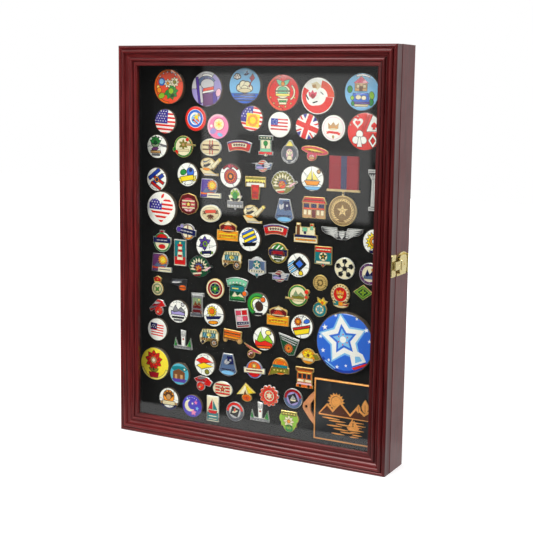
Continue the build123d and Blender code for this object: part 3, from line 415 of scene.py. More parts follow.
def oblong(w, h):
    return [(-w / 2, -h / 2), (w / 2, -h / 2), (w / 2, h / 2), (-w / 2, h / 2)]


def bar(paint, w, h, x=0.0, y=0.0, turn=0.0):
    return paint, placed(oblong(w, h), x, y, turn)


def patch(paint, *points):
    return paint, list(points)


def figure(paint, points, x=0.0, y=0.0, turn=0.0, size=1.0):
    return paint, placed(points, x, y, turn, size)


def stretched(paint, points, w, h, x, y):
    return paint, [(x + w * px, y + h * py) for px, py in points]


def star(paint, r, x=0.0, y=0.0, turn=0.0, tips=5, waist=0.4):
    points = [polar(r if i % 2 == 0 else r * waist, 90 + 180 * i / tips) for i in range(2 * tips)]
    return paint, placed(points, x, y, turn)


def arch(paint, outer, inner, start, sweep, x=0.0, y=0.0, squash=1.0):
    count = max(6, int(abs(sweep) / 12))
    return paint, placed(ring(count, outer, start, sweep, squash)
                         + ring(count, inner, start, sweep, squash)[::-1], x, y)


def leaf(paint, length, width, x=0.0, y=0.0, turn=0.0):
    side = [(length * t, width / 2 * math.sin(math.pi * t ** 0.8)) for t in (0.08, 0.25, 0.45, 0.65, 0.85)]
    return paint, placed([(0, 0)] + [(px, -py) for px, py in side] + [(length, 0)] + side[::-1], x, y, turn)


def heart(paint, size, x=0.0, y=0.0, turn=0.0):
    turns = [2 * math.pi * (i + 0.5) / 20 for i in range(20)]
    points = [(16 * math.sin(t) ** 3, 13 * math.cos(t) - 5 * math.cos(2 * t) - 2 * math.cos(3 * t) - math.cos(4 * t))
              for t in turns]
    return paint, placed(points, x, y, turn, size / 32)


def drop(paint, size, x=0.0, y=0.0, turn=0.0):
    return paint, placed([(0, 0.62 * size)] + placed(ring(13, 0.36 * size, 150, 240), 0, -0.1 * size), x, y, turn)


def spaced(count, start, sweep):
    step = sweep / (count if sweep == 360.0 else max(1, count - 1))
    return [start + step * i for i in range(count)]


def petals(paint, count, length, width, x=0.0, y=0.0, start=90.0, sweep=360.0, gap=0.0):
    return [leaf(paint, length, width, *polar(gap, angle, x, y), angle) for angle in spaced(count, start, sweep)]


def dots(paint, count, r, d, x=0.0, y=0.0, start=90.0, sweep=360.0):
    return [disc(paint, d, *polar(r, angle, x, y)) for angle in spaced(count, start, sweep)]


def stripes(paint, count, w, h, pitch, x=0.0, y=0.0, turn=0.0):
    spots = placed([(0, (i - (count - 1) / 2) * pitch) for i in range(count)], x, y, turn)
    return [bar(paint, w, h, *spot, turn) for spot in spots]


def flower(petal, core, size, x=0.0, y=0.0, count=6):
    return petals(petal, count, size / 2, size * 0.34, x, y) + [disc(core, size * 0.3, x, y)]


def sun(paint, core, r, x=0.0, y=0.0, tips=12):
    return [star(paint, r, x, y, 0, tips, 0.66), disc(core, r * 1.0, x, y)]


def boat(hull, sail, size, x=0.0, y=0.0):
    return [figure(hull, [(-0.5, -0.18), (-0.34, -0.42), (0.34, -0.42), (0.5, -0.18)], x, y, 0, size),
            figure(sail, [(-0.04, -0.1), (-0.04, 0.5), (-0.4, -0.1)], x, y, 0, size),
            figure(sail, [(0.05, -0.1), (0.42, -0.1), (0.05, 0.38)], x, y, 0, size)]


def hills(back, front, w, h, x=0.0, y=0.0):
    far = [(-0.5, -0.5), (0.5, -0.5), (0.5, -0.1), (0.24, 0.32), (0.02, -0.05), (-0.2, 0.5)]
    near = [(-0.5, -0.5), (0.5, -0.5), (0.5, -0.3), (0.1, -0.12), (-0.25, -0.28), (-0.5, -0.15)]
    return [stretched(back, far, w, h, x, y), stretched(front, near, w, h, x, y)]


def roundTree(leaves, trunk, size, x=0.0, y=0.0):
    return [bar(trunk, size * 0.14, size * 0.4, x, y - size * 0.3),
            oval(leaves, size * 0.62, size * 0.7, x, y + size * 0.12)]


def cottage(wall, roof, door, size, x=0.0, y=0.0):
    return [bar(wall, size * 0.8, size * 0.5, x, y - size * 0.2),
            figure(roof, [(-0.5, 0.03), (0.5, 0.03), (0, 0.45)], x, y, 0, size),
            bar(door, size * 0.16, size * 0.26, x, y - size * 0.32)]


def bird(body, wing, size, x=0.0, y=0.0, turn=0.0):
    return [leaf(body, size, size * 0.34, *placed([(-0.5 * size, 0)], x, y, turn)[0], turn),
            leaf(wing, size * 0.55, size * 0.3, *placed([(-0.08 * size, 0.02 * size)], x, y, turn)[0], turn + 55)]


def crown(paint, jewel, w, h, x=0.0, y=0.0):
    tips = [(-0.5, -0.5), (0.5, -0.5), (0.56, 0.4), (0.26, 0.0), (0.0, 0.5), (-0.26, 0.0), (-0.56, 0.4)]
    return [stretched(paint, tips, w, h, x, y),
            *[disc(jewel, h * 0.2, x + w * px, y - h * 0.26) for px in (-0.28, 0.0, 0.28)]]


def ribbonBand(paint, end, w, h, x=0.0, y=0.0, turn=0.0):
    tail = [(0.36, -0.8), (0.6, -0.8), (0.52, -0.3), (0.6, 0.2), (0.36, 0.2)]
    ends = [figure(end, [(side * w * px, h * py) for px, py in tail], x, y, turn) for side in (1, -1)]
    return ends + [bar(paint, w * 0.84, h, x, y, turn)]


def flag(x, y, w, h, turn=0.0):
    corner, = placed([(-w * 0.29, h * 1.5 / 7)], x, y, turn)
    return [bar("white", w, h, x, y, turn), *stripes("red", 4, w, h / 7, h * 2 / 7, x, y, turn),
            bar("blue", w * 0.42, h * 4 / 7, *corner, turn)]


def starRows(paint, rows, columns, pitch, r, x=0.0, y=0.0, turn=0.0):
    # every second row is shifted by half a pitch
    spots = [((column - (columns - 1) / 2 + (row % 2) / 2) * pitch, (row - (rows - 1) / 2) * pitch * 0.8)
             for row in range(rows) for column in range(columns - row % 2)]
    return [star(paint, r, *spot, turn) for spot in placed(spots, x, y, turn)]


# cutting artwork into faces

# the width of the metal lines, and the drops of the enamel and of the rim
pinRelief = {"line": 0.32, "enamel": 0.14, "edge": 0.30}


def isLeftTurning(points):
    return sum(ax * by - bx * ay for (ax, ay), (bx, by) in zip(points, points[1:] + points[:1])) > 0


def grown(points, margin):
    # the outline moved outward by margin, with its sharp corners held back
    if not isLeftTurning(points):
        points = points[::-1]
    out = []
    for before, here, after in zip(points[-1:] + points[:-1], points, points[1:] + points[:1]):
        a = Vector(here) - Vector(before)
        b = Vector(after) - Vector(here)
        if a.length < 1e-6 or b.length < 1e-6:
            continue
        a.normalize()
        b.normalize()
        away = Vector((a.y + b.y, -a.x - b.x)) / max(0.7, 1.0 + a.dot(b))
        out.append(tuple(Vector(here) + away * margin))
    return out


def withLines(line, shapes, width=pinRelief["line"]):
    # each enamel gets a metal line round it, laid just before it
    lined = []
    for paint, points in shapes:
        if paint in paints:
            lined.append((line, grown(points, width)))
        lined.append((paint, points))
    return lined


def cutArt(outline, shapes, spread=(), inside=None):
    # triangles of the outline, each with the paint of the last shape over it; outside the
    # inside loop there is only bare rim
    corners, loops = [], []
    for points in [outline, inside or outline] + [points for _, points in shapes]:
        ordered = points if isLeftTurning(points) else points[::-1]
        loops.append(list(range(len(corners), len(corners) + len(ordered))))
        corners += [Vector(p) for p in ordered]
    corners += [Vector(p) for p in spread]
    spots, _, faces, _, _, owners = geometry.delaunay_2d_cdt(corners, [], loops, 1, 1e-4, True)
    kept = []
    for face, owner in zip(faces, owners):
        if 0 in owner:
            top = max(owner) if 1 in owner else 1
            kept.append((face, shapes[top - 2][0] if top > 1 else None))
    return spots, kept


def addPiece(name, mesh):
    piece = bpy.data.objects.new(name, mesh)
    bpy.context.scene.collection.objects.link(piece)
    return piece


def softened(mesh, sharpAngle):
    mesh.shade_smooth()
    mesh.set_sharp_from_angle(angle=math.radians(sharpAngle))


class Casting:
    # gathers the faces of every pin that shares a CAD node into one mesh

    def __init__(self):
        self.points, self.faces, self.tones = [], [], []

    def add(self, corners, tone):
        start = len(self.points)
        self.points += corners
        self.faces.append(tuple(range(start, start + len(corners))))
        self.tones.append(tone)

    def finish(self, name, node, slotName, material, sharpAngle):
        mesh = bpy.data.meshes.new(name)
        mesh.from_pydata(self.points, [], self.faces)
        tone = mesh.attributes.new("paint", "FLOAT_COLOR", "FACE")
        tone.data.foreach_set("color", [value for paint in self.tones for value in facePaint[paint]])
        work = bmesh.new()
        work.from_mesh(mesh)
        bmesh.ops.remove_doubles(work, verts=work.verts, dist=2e-6)
        bmesh.ops.dissolve_degenerate(work, dist=1e-6, edges=work.edges)
        work.to_mesh(mesh)
        work.free()
        mesh.materials.append(material)
        softened(mesh, sharpAngle)
        piece = addPiece(name, mesh)
        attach(piece, "case")
        if node:
            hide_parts(node)


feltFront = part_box("felt_sheet")[0].y / mm


def layArt(casting, centre, outline, shapes, surface, ground, spread=(), steps=None, rim=0.0, foot=0.0,
           inside=None):
    # one pin: its top in steps, the walls between them, its sides and its back.
    # surface(x, y) is the height over the felt, steps the drop of each kind of paint.
    spots, kept = cutArt(outline, shapes, spread, inside)
    steps = steps or {}
    edges = {edge for face, _ in kept for edge in zip(face, face[1:] + face[:1])}
    rimSpots = {i for a, b in edges if (b, a) not in edges for i in (a, b)}
    cx, cz = centre

    def at(i, drop):
        x, y = spots[i]
        height = surface(x, y) - drop - (rim if i in rimSpots else 0.0)
        return ((cx + x) * mm, (feltFront - height) * mm, (cz + y) * mm)

    sides = {}
    for face, paint in kept:
        paint = paint or ground
        drop = steps.get(paint, steps.get("enamel", 0.0) if paint in paints else 0.0)
        casting.add([at(i, drop) for i in face], paint)
        for a, b in zip(face, face[1:] + face[:1]):
            sides[(a, b)] = (drop, paint)
    backLoop = {}
    for (a, b), (drop, paint) in sides.items():
        if (b, a) not in sides:
            low = [((cx + spots[i].x) * mm, (feltFront - foot) * mm, (cz + spots[i].y) * mm) for i in (a, b)]
            casting.add([at(b, drop), at(a, drop), low[0], low[1]], paint)
            backLoop[a] = b
        elif drop < sides[(b, a)][0]:
            lower = sides[(b, a)][0]
            casting.add([at(b, drop), at(a, drop), at(a, lower), at(b, lower)], ground)
    while backLoop:
        start, here = backLoop.popitem()
        loop = [start]
        while here != start and here in backLoop:
            loop.append(here)
            here = backLoop.pop(here)
        casting.add([((cx + spots[i].x) * mm, (feltFront - foot) * mm, (cz + spots[i].y) * mm)
                     for i in reversed(loop)], ground)


def islands(node):
    # the outline of every front face in a node, as (x, z) in mm
    work = bmesh.new()
    work.from_mesh(nodes[node].data)
    bmesh.ops.remove_doubles(work, verts=work.verts, dist=1e-6)
    work.faces.ensure_lookup_table()
    front = [f for f in work.faces if f.normal.y < -0.999 and f.calc_center_median().y < (feltFront - 1.0) * mm]
    inFront = set(front)
    following = {}
    for face in front:
        for loop in face.loops:
            other = loop.link_loop_radial_next.face
            if other is face or other not in inFront:
                following[loop.vert] = loop.link_loop_next.vert
    found = []
    while following:
        first, here = following.popitem()
        line = [first]
        while here is not first and here in following:
            line.append(here)
            here = following.pop(here)
        points = [(v.co.x / mm, v.co.z / mm) for v in line]
        found.append(points if isLeftTurning(points) else points[::-1])
    work.free()
    return found


def middleOf(points):
    xs = [x for x, _ in points]
    zs = [z for _, z in points]
    return (min(xs) + max(xs)) / 2, (min(zs) + max(zs)) / 2


def thinned(points, least=0.12):
    # drops points that stand closer than the finest detail
    kept = []
    for p in points:
        if not kept or math.dist(p, kept[-1]) > least:
            kept.append(p)
    if len(kept) > 3 and math.dist(kept[0], kept[-1]) <= least:
        kept.pop()
    return kept


def cloud(line, paint, size, x=0.0, y=0.0):
    # lumps are (x, y, diameter) as shares of the size
    lumps = [(-0.36, -0.06, 0.42), (-0.1, 0.14, 0.5), (0.2, 0.12, 0.46), (0.4, -0.08, 0.36), (0.02, -0.14, 0.5)]
    return ([disc(line, size * d + 1.2, x + size * px, y + size * py) for px, py, d in lumps]
            + [disc(paint, size * d, x + size * px, y + size * py) for px, py, d in lumps])


def surround(paint, reach, hole):
    # a round field with the hole's outline left open
    _, edge = hole
    edge = edge if isLeftTurning(edge) else edge[::-1]
    rim = ring(40, reach)
    start = min(range(len(edge)), key=lambda i: math.dist(edge[i], rim[0]))
    inner = (edge[start:] + edge[:start])[::-1]
    return paint, rim + rim[:1] + inner[-1:] + inner


def club(paint, size, x=0.0, y=0.0, turn=0.0):
    spots = placed([(0, 0.26), (-0.25, -0.1), (0.25, -0.1)], x, y, turn, size)
    stem = placed([(-0.16, -0.5), (0.16, -0.5), (0.04, 0.1), (-0.04, 0.1)], x, y, turn, size)
    return [disc(paint, size * 0.44, *spot) for spot in spots] + [(paint, stem)]


def spade(paint, size, x=0.0, y=0.0, turn=0.0):
    return [heart(paint, size * 0.95, x, y + size * 0.06, turn + 180),
            figure(paint, [(-0.16, -0.5), (0.16, -0.5), (0.0, 0.1)], x, y, turn, size)]


# button badges: (place, ground, shapes). A place is (across, up) in mm from the felt's lower
# left corner, and later shapes lie over earlier ones.
largeBadges = [
    ((42, 401), "coral", [arch("orange", 20.4, 17.6, 20, 250), disc("azure", 8.6, -9, 5.4),
        disc("sky", 6.2, -9.4, 5.9), disc("lemon", 3.4, -14.2, -0.4), disc("amber", 6.0, -12.6, -4.2),
        oval("lime", 9, 6, -9.5, -10.5, 20), *petals("green", 7, 9.5, 6.4, 3.5, -5.5, 200, 250),
        *flower("cream", "amber", 10.4, -0.6, 3.6, 7), *flower("cream", "olive", 11.6, 8.4, 5.2, 8),
        disc("lime", 6.4, 3.6, -5.0), *dots("white", 5, 16.4, 1.3, 0, 0, 55, 80),
        oval("forest", 5, 2.4, 5.4, -10.4, 25)]),
    ((93, 399), "lavender", [arch("pearl", 20.4, 13.5, 60, 120), arch("slate", 14.5, 9.0, 40, 110),
        bar("violet", 3.4, 30, -10.5, -2, 8), bar("pearl", 3.0, 19, -6.8, -6, 6),
        patch("plum", (-4, -19), (8.5, -17.5), (8.5, -4.5), (-4, -5.5)),
        patch("violet", (8.5, -17), (14, -13), (13, -3), (8.5, -4)), oval("pearl", 17, 11, 1.5, 5.4),
        patch("coral", (-4.5, -3.5), (9.5, -1.0), (9.5, 2.6), (-3.5, 0.2)),
        patch("white", (-4.8, -5.2), (9.8, -2.4), (9.7, -0.9), (-4.5, -3.4)), arch("white", 16.6, 14.9, 62, 46),
        oval("blush", 6, 9, 15.6, -4, -15), *dots("violet", 3, 7.2, 1.4, 1, 5.4, 60, 60)]),
    ((142.5, 403), "sky", [figure("azure", ring(24, 20.3, 205, 130)),
        *stripes("slate", 3, 26, 0.7, 3.0, 0, -13.2), *cloud("navy", "cream", 17, 0, -1.5),
        oval("ivory", 15, 4.4, 0.4, -5.2), *cloud("slate", "white", 7, -9.4, 10),
        patch("crimson", (6.5, 8.5), (10, 12.8), (12.6, 8.6), (9.2, 4.8)), bar("crimson", 0.5, 7, 7.4, 2.0, -24),
        *bird("navy", "slate", 6, 2.4, 12.8, 12)]),
    ((190, 396), "scarlet", [arch("coral", 20.3, 16.8, 100, 170), oval("cream", 17.5, 14, 0.5, 1.2),
        oval("mint", 12.6, 9.4, 0.5, 1.6), bar("lemon", 16.6, 2.0, 0.5, -2.4),
        *petals("mint", 2, 10, 4.6, 0.5, 8.2, 35, 110), disc("amber", 4.4, 0.5, 9.6),
        *stripes("sage", 3, 1.0, 8.4, 4.0, 0.5, 1.6, 90),
        patch("cream", (-6, -6.6), (7, -6.6), (4.6, -12.6), (-3.6, -12.6)), bar("green", 8.6, 1.5, 0.5, -9.4),
        *dots("lemon", 6, 15.6, 1.5, 0, 0, 200, 140), arch("cream", 9.8, 8.4, -60, 110, 5.5, 0.6)]),
    ((232.5, 393), "white", [arch("scarlet", 18.6, 10.2, 150, 205), arch("coral", 17.4, 9.8, -2, 82, 2.2, -0.6),
        disc("white", 18, -4.6, -1.6), patch("ivory", (-8, 13), (-1, 15.2), (4.8, 10.6), (-0.4, 6.4)),
        patch("tan", (-7, 11.6), (-2.4, 12.4), (-0.8, 8.6), (-5.6, 8.2)),
        *petals("rose", 3, 8, 4.4, -5.8, -1.6, 50, 80), disc("crimson", 5.2, -5.4, -0.4),
        bar("black", 6.2, 1.4, -2.6, -6.6, 16), bar("black", 6.4, 1.4, -12.2, -1.6, -58),
        bar("charcoal", 4.6, 0.9, 5.4, 3.0, -38)]),
    ((284, 398), "sky", [oval("green", 5.6, 7.2, -13.6, 2.6), oval("lime", 5, 8, 11.6, -3.6, 10),
        oval("green", 5, 7, 11, -10.8, -10), *cottage("tan", "rose", "brown", 17, -0.8, 8.6),
        bar("ivory", 3, 3, -4.4, 5.8), bar("ivory", 3, 3, 3.2, 5.8),
        patch("azure", (-9.6, -1.6), (7.4, -1.6), (9.0, -11.4), (-11, -11.4)), oval("cream", 6.2, 4.6, -3.6, -5.6),
        oval("cream", 5.4, 4.4, 2.8, -6.2), bar("violet", 20, 1.6, -0.6, -11.6),
        patch("ivory", (-9, -13.2), (8, -13.2), (6.6, -15.2), (-7.4, -15.2)), oval("lime", 4, 4, -10.6, -6.4),
        oval("green", 3.4, 4.6, -10, -12.2), arch("pearl", 18.4, 17.0, 60, 50)]),
    ((288.5, 356.5), "scarlet", [patch("white", (2.4, 0.4), (9.2, 17.8), (14.4, 14.0), (18.6, 7.8), (20.0, 0.6)),
        bar("scarlet", 1.4, 21, 1.2, 9, -22), *club("white", 17.6, -5.6, -7.4), heart("white", 12.4, -8, 9.2),
        heart("scarlet", 6.4, -8, 9.0), patch("white", (9.6, -16.6), (14.8, -9.4), (9.6, -2.2), (4.6, -9.4)),
        patch("scarlet", (9.6, -13.0), (12.2, -9.4), (9.6, -5.8), (7.2, -9.4)), *spade("scarlet", 7.4, 10.8, 6.4),
        *dots("white", 3, 18, 1.2, 0, 0, 118, 40)]),
    ((31.5, 259), "white", [bar("white", 34, 34, 0, -1), *stripes("scarlet", 6, 34, 2.5, 5.0, 0, -2.2, -3),
        bar("flagBlue", 18.0, 14.6, -7.4, 6.2, -3), *starRows("white", 4, 4, 3.8, 1.15, -6.8, 6.0, -3),
        surround("white", 22, heart("white", 34, 0, -0.8)), leaf("scarlet", 7, 3.4, 0.6, 12.2, 58)]),
    ((22, 70), "sunny", [arch("lemon", 20.3, 17.4, 200, 140), *petals("red", 9, 12.0, 8.0, -1, 4.6),
        *petals("scarlet", 9, 8.4, 4.4, -1, 4.6, 110), disc("tan", 8.4, -1, 4.6), disc("cream", 4.6, -1, 4.6),
        bar("umber", 1.4, 6.4, -1, -8.0), *petals("olive", 2, 8.0, 3.4, -1, -9.4, 30, 120),
        patch("crimson", (-8.0, -10.6), (6.0, -10.6), (4.0, -16.8), (-6.0, -16.8))]),
]

printBadges = [
    ((36.5, 361), "white", [*stripes("scarlet", 6, 31, 2.15, 4.5, 0, -2.4, -3),
        bar("flagBlue", 19, 17.5, -5.6, 6.6, -3), *starRows("white", 5, 5, 3.5, 1.05, -5.8, 6.2, -3)]),
    ((78, 365), "scarlet", [disc("white", 21.2, -0.4, 0.2), disc("azure", 20.0, -0.4, 0.2),
        disc("white", 14.4, -0.4, 0.2), disc("sky", 10.8, -0.2, -0.4),
        *stripes("coral", 2, 8.6, 1.6, 3.4, 0.8, -1.8, -38), star("yellow", 4.4, 1.2, 2.0, 12),
        oval("tan", 3.2, 4.6, 4.4, 4.6, 35), disc("navy", 2.2, -3.2, -1.8)]),
    ((107.5, 357), "pink", [arch("blush", 14.2, 11.6, 60, 160), disc("rose", 14.6, 1.6, 2.4),
        disc("cream", 13.2, 1.6, 2.4), *petals("lemon", 6, 5.0, 2.8, 1.6, 2.4), disc("amber", 2.6, 1.6, 2.4),
        oval("lavender", 8.4, 6.6, -6.2, -5.4, 20), disc("white", 3.6, -8.4, 0.4),
        oval("sky", 7, 4.2, 3.0, -9.2, -15)]),
    ((151, 367), "white", [*stripes("scarlet", 6, 31, 2.3, 4.7, 0, 0.4, -7), bar("flagBlue", 17, 19, -6.8, 5.8, -7),
        *starRows("white", 4, 4, 3.7, 1.05, -6.2, 6.4, -7), bar("yellow", 16.4, 15.0, 1.8, -2.0, -7),
        arch("amber", 6.4, 5.4, 0, 360, 1.8, -2.0), *sun("amber", "yellow", 7.6, 1.8, -2.0, 12)]),
    ((186, 361), "white", [*flag(0, 0.4, 21, 12.6, -2), *dots("white", 6, 2.3, 0.9, -5.7, 3.0)]),
    ((220, 360), "flagBlue", [bar("white", 36, 5.4, 0, 0, 17), bar("white", 36, 5.4, 0, 0, -57),
        bar("scarlet", 36, 1.8, 0, -0.9, 17), bar("scarlet", 36, 1.8, -0.9, 0, -57),
        bar("white", 36, 9.6, 0, 0, -20), bar("white", 36, 9.6, 0, 0, 70), bar("scarlet", 36, 5.6, 0, 0, -20),
        bar("scarlet", 36, 5.6, 0, 0, 70)]),
    ((251.5, 359), "white", [disc("blush", 24.4), disc("white", 23.2), *crown("tan", "amber", 11.6, 7.4, 0, 3.0),
        oval("ivory", 9.4, 2.2, 0, -1.2), *ribbonBand("scarlet", "coral", 14.5, 2.6, 0.2, -4.6, -5),
        drop("tan", 4.2, 0, -9.4, 180)]),
]

whiteBadges = [
    ((25, 331.5), [oval("sage", 9, 8, -1.6, 3.4), *petals("green", 5, 6.4, 3.4, -1.6, 3.6, 20, 140),
        disc("forest", 3.0, -1.6, 3.6), oval("plum", 7.4, 2.6, -2.0, -2.2, 8), bar("tan", 11, 1.8, -1.4, -5.2),
        bar("grey", 8, 0.8, -1.0, -8.0), bar("grey", 6.4, 0.7, 7.8, 1.2, -14)]),
    ((24.5, 293), [*stripes("blue", 2, 15, 3.0, 6.6, -0.6, 2.6, 38),
        *stripes("red", 2, 12, 2.2, 6.6, 1.0, -3.4, -32), disc("amber", 5.0, 0.6, -0.2),
        disc("navy", 2.4, 0.6, -0.2)]),
    ((67, 300.5), [oval("azure", 7.4, 8.4, 3.6, 2.6, 14), oval("green", 6.4, 5.0, -4.4, 2.2, 20),
        *ribbonBand("yellow", "lemon", 17, 4.2, 0, -3.4, 10), disc("navy", 2.6, 3.8, 4.6)]),
    ((124.5, 302), [disc("rose", 13.4, 0.4, -0.6), *sun("orange", "maroon", 6.2, 0.4, -0.6, 14),
        disc("amber", 3.6, 0.4, -0.6), arch("crimson", 10.6, 9.2, 40, 100),
        *petals("rose", 3, 4.4, 2.2, 0, 7.2, 50, 80)]),
    ((227.5, 303.5), [*boat("amber", "lemon", 15, 0, 0.6), patch("sky", (-9, -7.4), (9, -7.4), (7, -10), (-7, -10)),
        disc("tan", 3, 6.4, 6.6)]),
    ((93, 219), [*petals("violet", 5, 6.6, 4.0, -1.6, 2.6, 30, 240), disc("lime", 5.0, -1.0, 2.0),
        disc("violet", 2.4, -1.0, 2.0), *ribbonBand("navy", "lime", 12, 1.8, 0.4, -6.2, 6)]),
    ((150, 231), [*stripes("azure", 3, 12, 1.5, 4.6, 0, 2.6, 26), *stripes("yellow", 2, 13, 2.3, 4.6, 0, 2.6, 26),
        patch("black", (-7.4, -4.0), (7.6, -2.6), (5.8, -5.4), (-5.0, -6.6))]),
    ((303, 239.5), [*sun("yellow", "amber", 8.6, 0, 0.4, 14), disc("white", 4.4, 0, 0.4),
        bar("navy", 9, 1.6, 0, -9.0, 4)]),
    ((212.5, 206.5), [*stripes("sky", 3, 8.4, 1.5, 3.4, -5.8, -1.8, 35),
        patch("black", (-5.4, 1.4), (1.2, 7.8), (7.8, 1.4), (1.2, -5.0)),
        patch("azure", (-2.6, 1.4), (1.2, 5.0), (5.0, 1.4), (1.2, -2.2)), disc("yellow", 3.8, 2.6, -7.2)]),
    ((54.5, 137.5), [*hills("grey", "lavender", 15, 9, 0, 1.6), disc("pearl", 3.0, 5.4, 7.4),
        bar("charcoal", 13, 0.9, 0, -5.8), bar("grey", 9, 0.8, 0, -8.6)]),
    ((103.5, 138.5), [*sun("yellow", "orange", 5.4, -1.8, 3.6),
        patch("navy", (-8.0, -2.6), (8.4, -0.4), (6.4, -2.8), (-7.0, -4.6)),
        oval("amber", 10.4, 2.8, -0.4, -7.4, 6)]),
    ((161.5, 157), [arch("green", 10.8, 7.6, 60, 190), arch("lime", 7.4, 5.8, 70, 160),
        oval("umber", 7.4, 9, 2.0, -1.6, 20), disc("orange", 4.4, 5.8, 5.0),
        bar("charcoal", 9, 1.4, 0.6, -9.2, 4)]),
    ((218, 137.5), [*sun("orange", "amber", 3.8, -3.8, 4.4),
        patch("red", (-8.8, -2.4), (8.2, 1.8), (8.4, 0.2), (-8.4, -4.0)),
        patch("yellow", (-8.0, -4.8), (8.2, -0.8), (7.2, -5.4), (-6.4, -8.8)),
        oval("azure", 5.6, 3.4, 5.2, 5.4, 20)]),
    ((25, 112.5), [bar("navy", 9.4, 8.6, -4.8, 3.6, -4), *stripes("scarlet", 5, 17, 1.5, 3.1, 0.4, -0.6, -4),
        bar("navy", 9.4, 7.4, -4.8, 3.9, -4), *starRows("white", 2, 3, 2.8, 0.9, -4.8, 3.9, -4)]),
    ((170, 118), [*hills("lime", "scarlet", 18, 14, 0.2, -0.2), oval("lemon", 5.4, 4, 5.0, 6.4),
        bar("orange", 15, 2.0, 0, -8.2, 3)]),
    ((91.5, 77.5), [patch("scarlet", (-9.8, 3.6), (-2, 7.4), (9.6, 3.2), (2.4, 2.6), (-2, 0.6)),
        patch("yellow", (-8.4, -1.4), (-0.6, 2.0), (10.2, -1.0), (2.2, -2.6), (-3.0, -4.4)),
        disc("olive", 4.4, 3.0, -6.8), arch("orange", 12.2, 11.2, 200, 70)]),
    ((41.5, 28.5), [disc("amber", 12.6, 0, 2.8), *petals("brown", 5, 5.6, 2.6, 0, 2.8, 15, 150),
        disc("tan", 5.4, 0, 2.6), *ribbonBand("ivory", "tan", 17, 3.6, 0, -3.8),
        arch("navy", 11.4, 9.4, 215, 110)]),
    ((56.5, 61.5), [disc("darkGold", 27.8), disc("aqua", 25.6), oval("teal", 22, 7, 0, 6.4),
        patch("brown", (-9, -6), (8, -6), (8, 2.6), (-0.6, 6.4), (-9, 2.6)), bar("tan", 3.4, 5.4, -4.6, -3.2),
        bar("tan", 3.4, 5.4, 3.2, -3.2), patch("violet", (-10.6, -6), (10.6, -6), (7.4, -10.2), (-7.4, -10.2)),
        disc("cream", 2.2, 7.2, 6.4)]),
    ((74.5, 24.5), [disc("violet", 27.8), disc("indigo", 25.8), disc("cream", 14.4, -3.0, 0.4),
        disc("indigo", 11.8, 0.4, 2.0), star("pink", 3.0, 5.4, 5.2, 10), star("sky", 2.8, 7.2, -2.0, -8),
        star("cream", 1.9, 0.8, 3.4), *petals("pink", 5, 4.2, 2.4, 2.2, -7.4), star("sky", 2.2, -6.6, 8.6, 15),
        *dots("white", 5, 10.6, 1.0, 0, 0, 55, 70)]),
]

# whole-face artwork, with the ground of each, which has no outlines and no seams under it
unlined = {(25, 112.5): "white", (56.5, 61.5): "darkGold", (74.5, 24.5): "violet"}

# small stars round the great one: (size, x, y, turn)
looseStars = [(3.6, -24, 16, 10), (2.6, -29, 5, -8), (3.0, 25.4, 17.6, 14), (2.4, 29.6, 5.6, 0),
              (3.0, -25.6, -10.4, 5), (2.2, -18.4, -20.6, 20), (2.6, -8.2, -27.2, 0), (2.2, 13.8, 29.0, 12),
              (2.0, -11.4, 30.4, -10), (2.0, 2.4, -24.6, 8)]
grandBadge = [
    ((272, 125), "azure", [arch("blue", 34.6, 30.4, 215, 110), star("sky", 30.5, -1.5, 4.5, 9, 5, 0.56),
        star("white", 27.4, -1.5, 4.5, 9, 5, 0.54), star("azure", 17.6, -1.5, 4.5, 9, 5, 0.50),
        star("sky", 12.6, -1.5, 4.5, 9, 5, 0.48), disc("white", 7.4, -1.5, 4.5),
        *dots("scarlet", 6, 5.8, 1.6, -1.5, 4.5, 30),
        patch("white", (10, -24), (26, -17.5), (22, -9.5), (14.5, -6.2), (7.2, -12.5)),
        patch("sky", (13.4, -20.4), (21.6, -16.8), (18.4, -12.4), (13.2, -12.8)),
        patch("scarlet", (9.4, -26.2), (27.2, -19.0), (27.8, -21.2), (12, -28.4)),
        *[star("white", *spot) for spot in looseStars],
        *stripes("sky", 3, 15.0, 1.5, 3.0, -18.6, -27.8, -32)]),
]


def jugShape(spout):
    return [oval("sky", 17, 5, 0, -9.4), patch("navy", (-1.5, 10.4), (6.4, 10.4), (8.2, 1.6), (0.4, 0.4)),
            leaf("pearl", 8, 3.6, -4.5, 1.2, spout), leaf("pearl", 7, 3.2, -4.0, 1.0, spout + 45),
            bar("navy", 17.5, 1.1, 0, -5.6), disc("pearl", 2.4, 3.4, 6.0)]


def cartShape():
    return [bar("sage", 21, 3.4, -0.4, 7.6), *stripes("cream", 6, 3.0, 1.3, 3.3, -0.4, 7.6, 90),
            bar("teal", 7.4, 6.0, -5.0, 2.6), bar("teal", 7.4, 5.4, 5.2, 2.8),
            *stripes("sky", 2, 5.6, 0.9, 2.6, -5.0, 2.6, 70), *stripes("sky", 2, 5.0, 0.9, 2.6, 5.2, 2.8, -70),
            *petals("lemon", 5, 4.2, 1.9, 0.2, 1.6, 30, 120), bar("tan", 22, 2.6, 0, -2.2),
            *stripes("brown", 7, 2.4, 0.7, 3.0, 0, -2.2, 90), disc("charcoal", 8.2, 7, -5.5),
            *petals("pearl", 8, 3.4, 1.2, 7, -5.5), disc("amber", 1.8, 7, -5.5), disc("charcoal", 4.0, -8.0, -6.0),
            bar("olive", 7, 1.3, -1.4, -3.6, 24)]


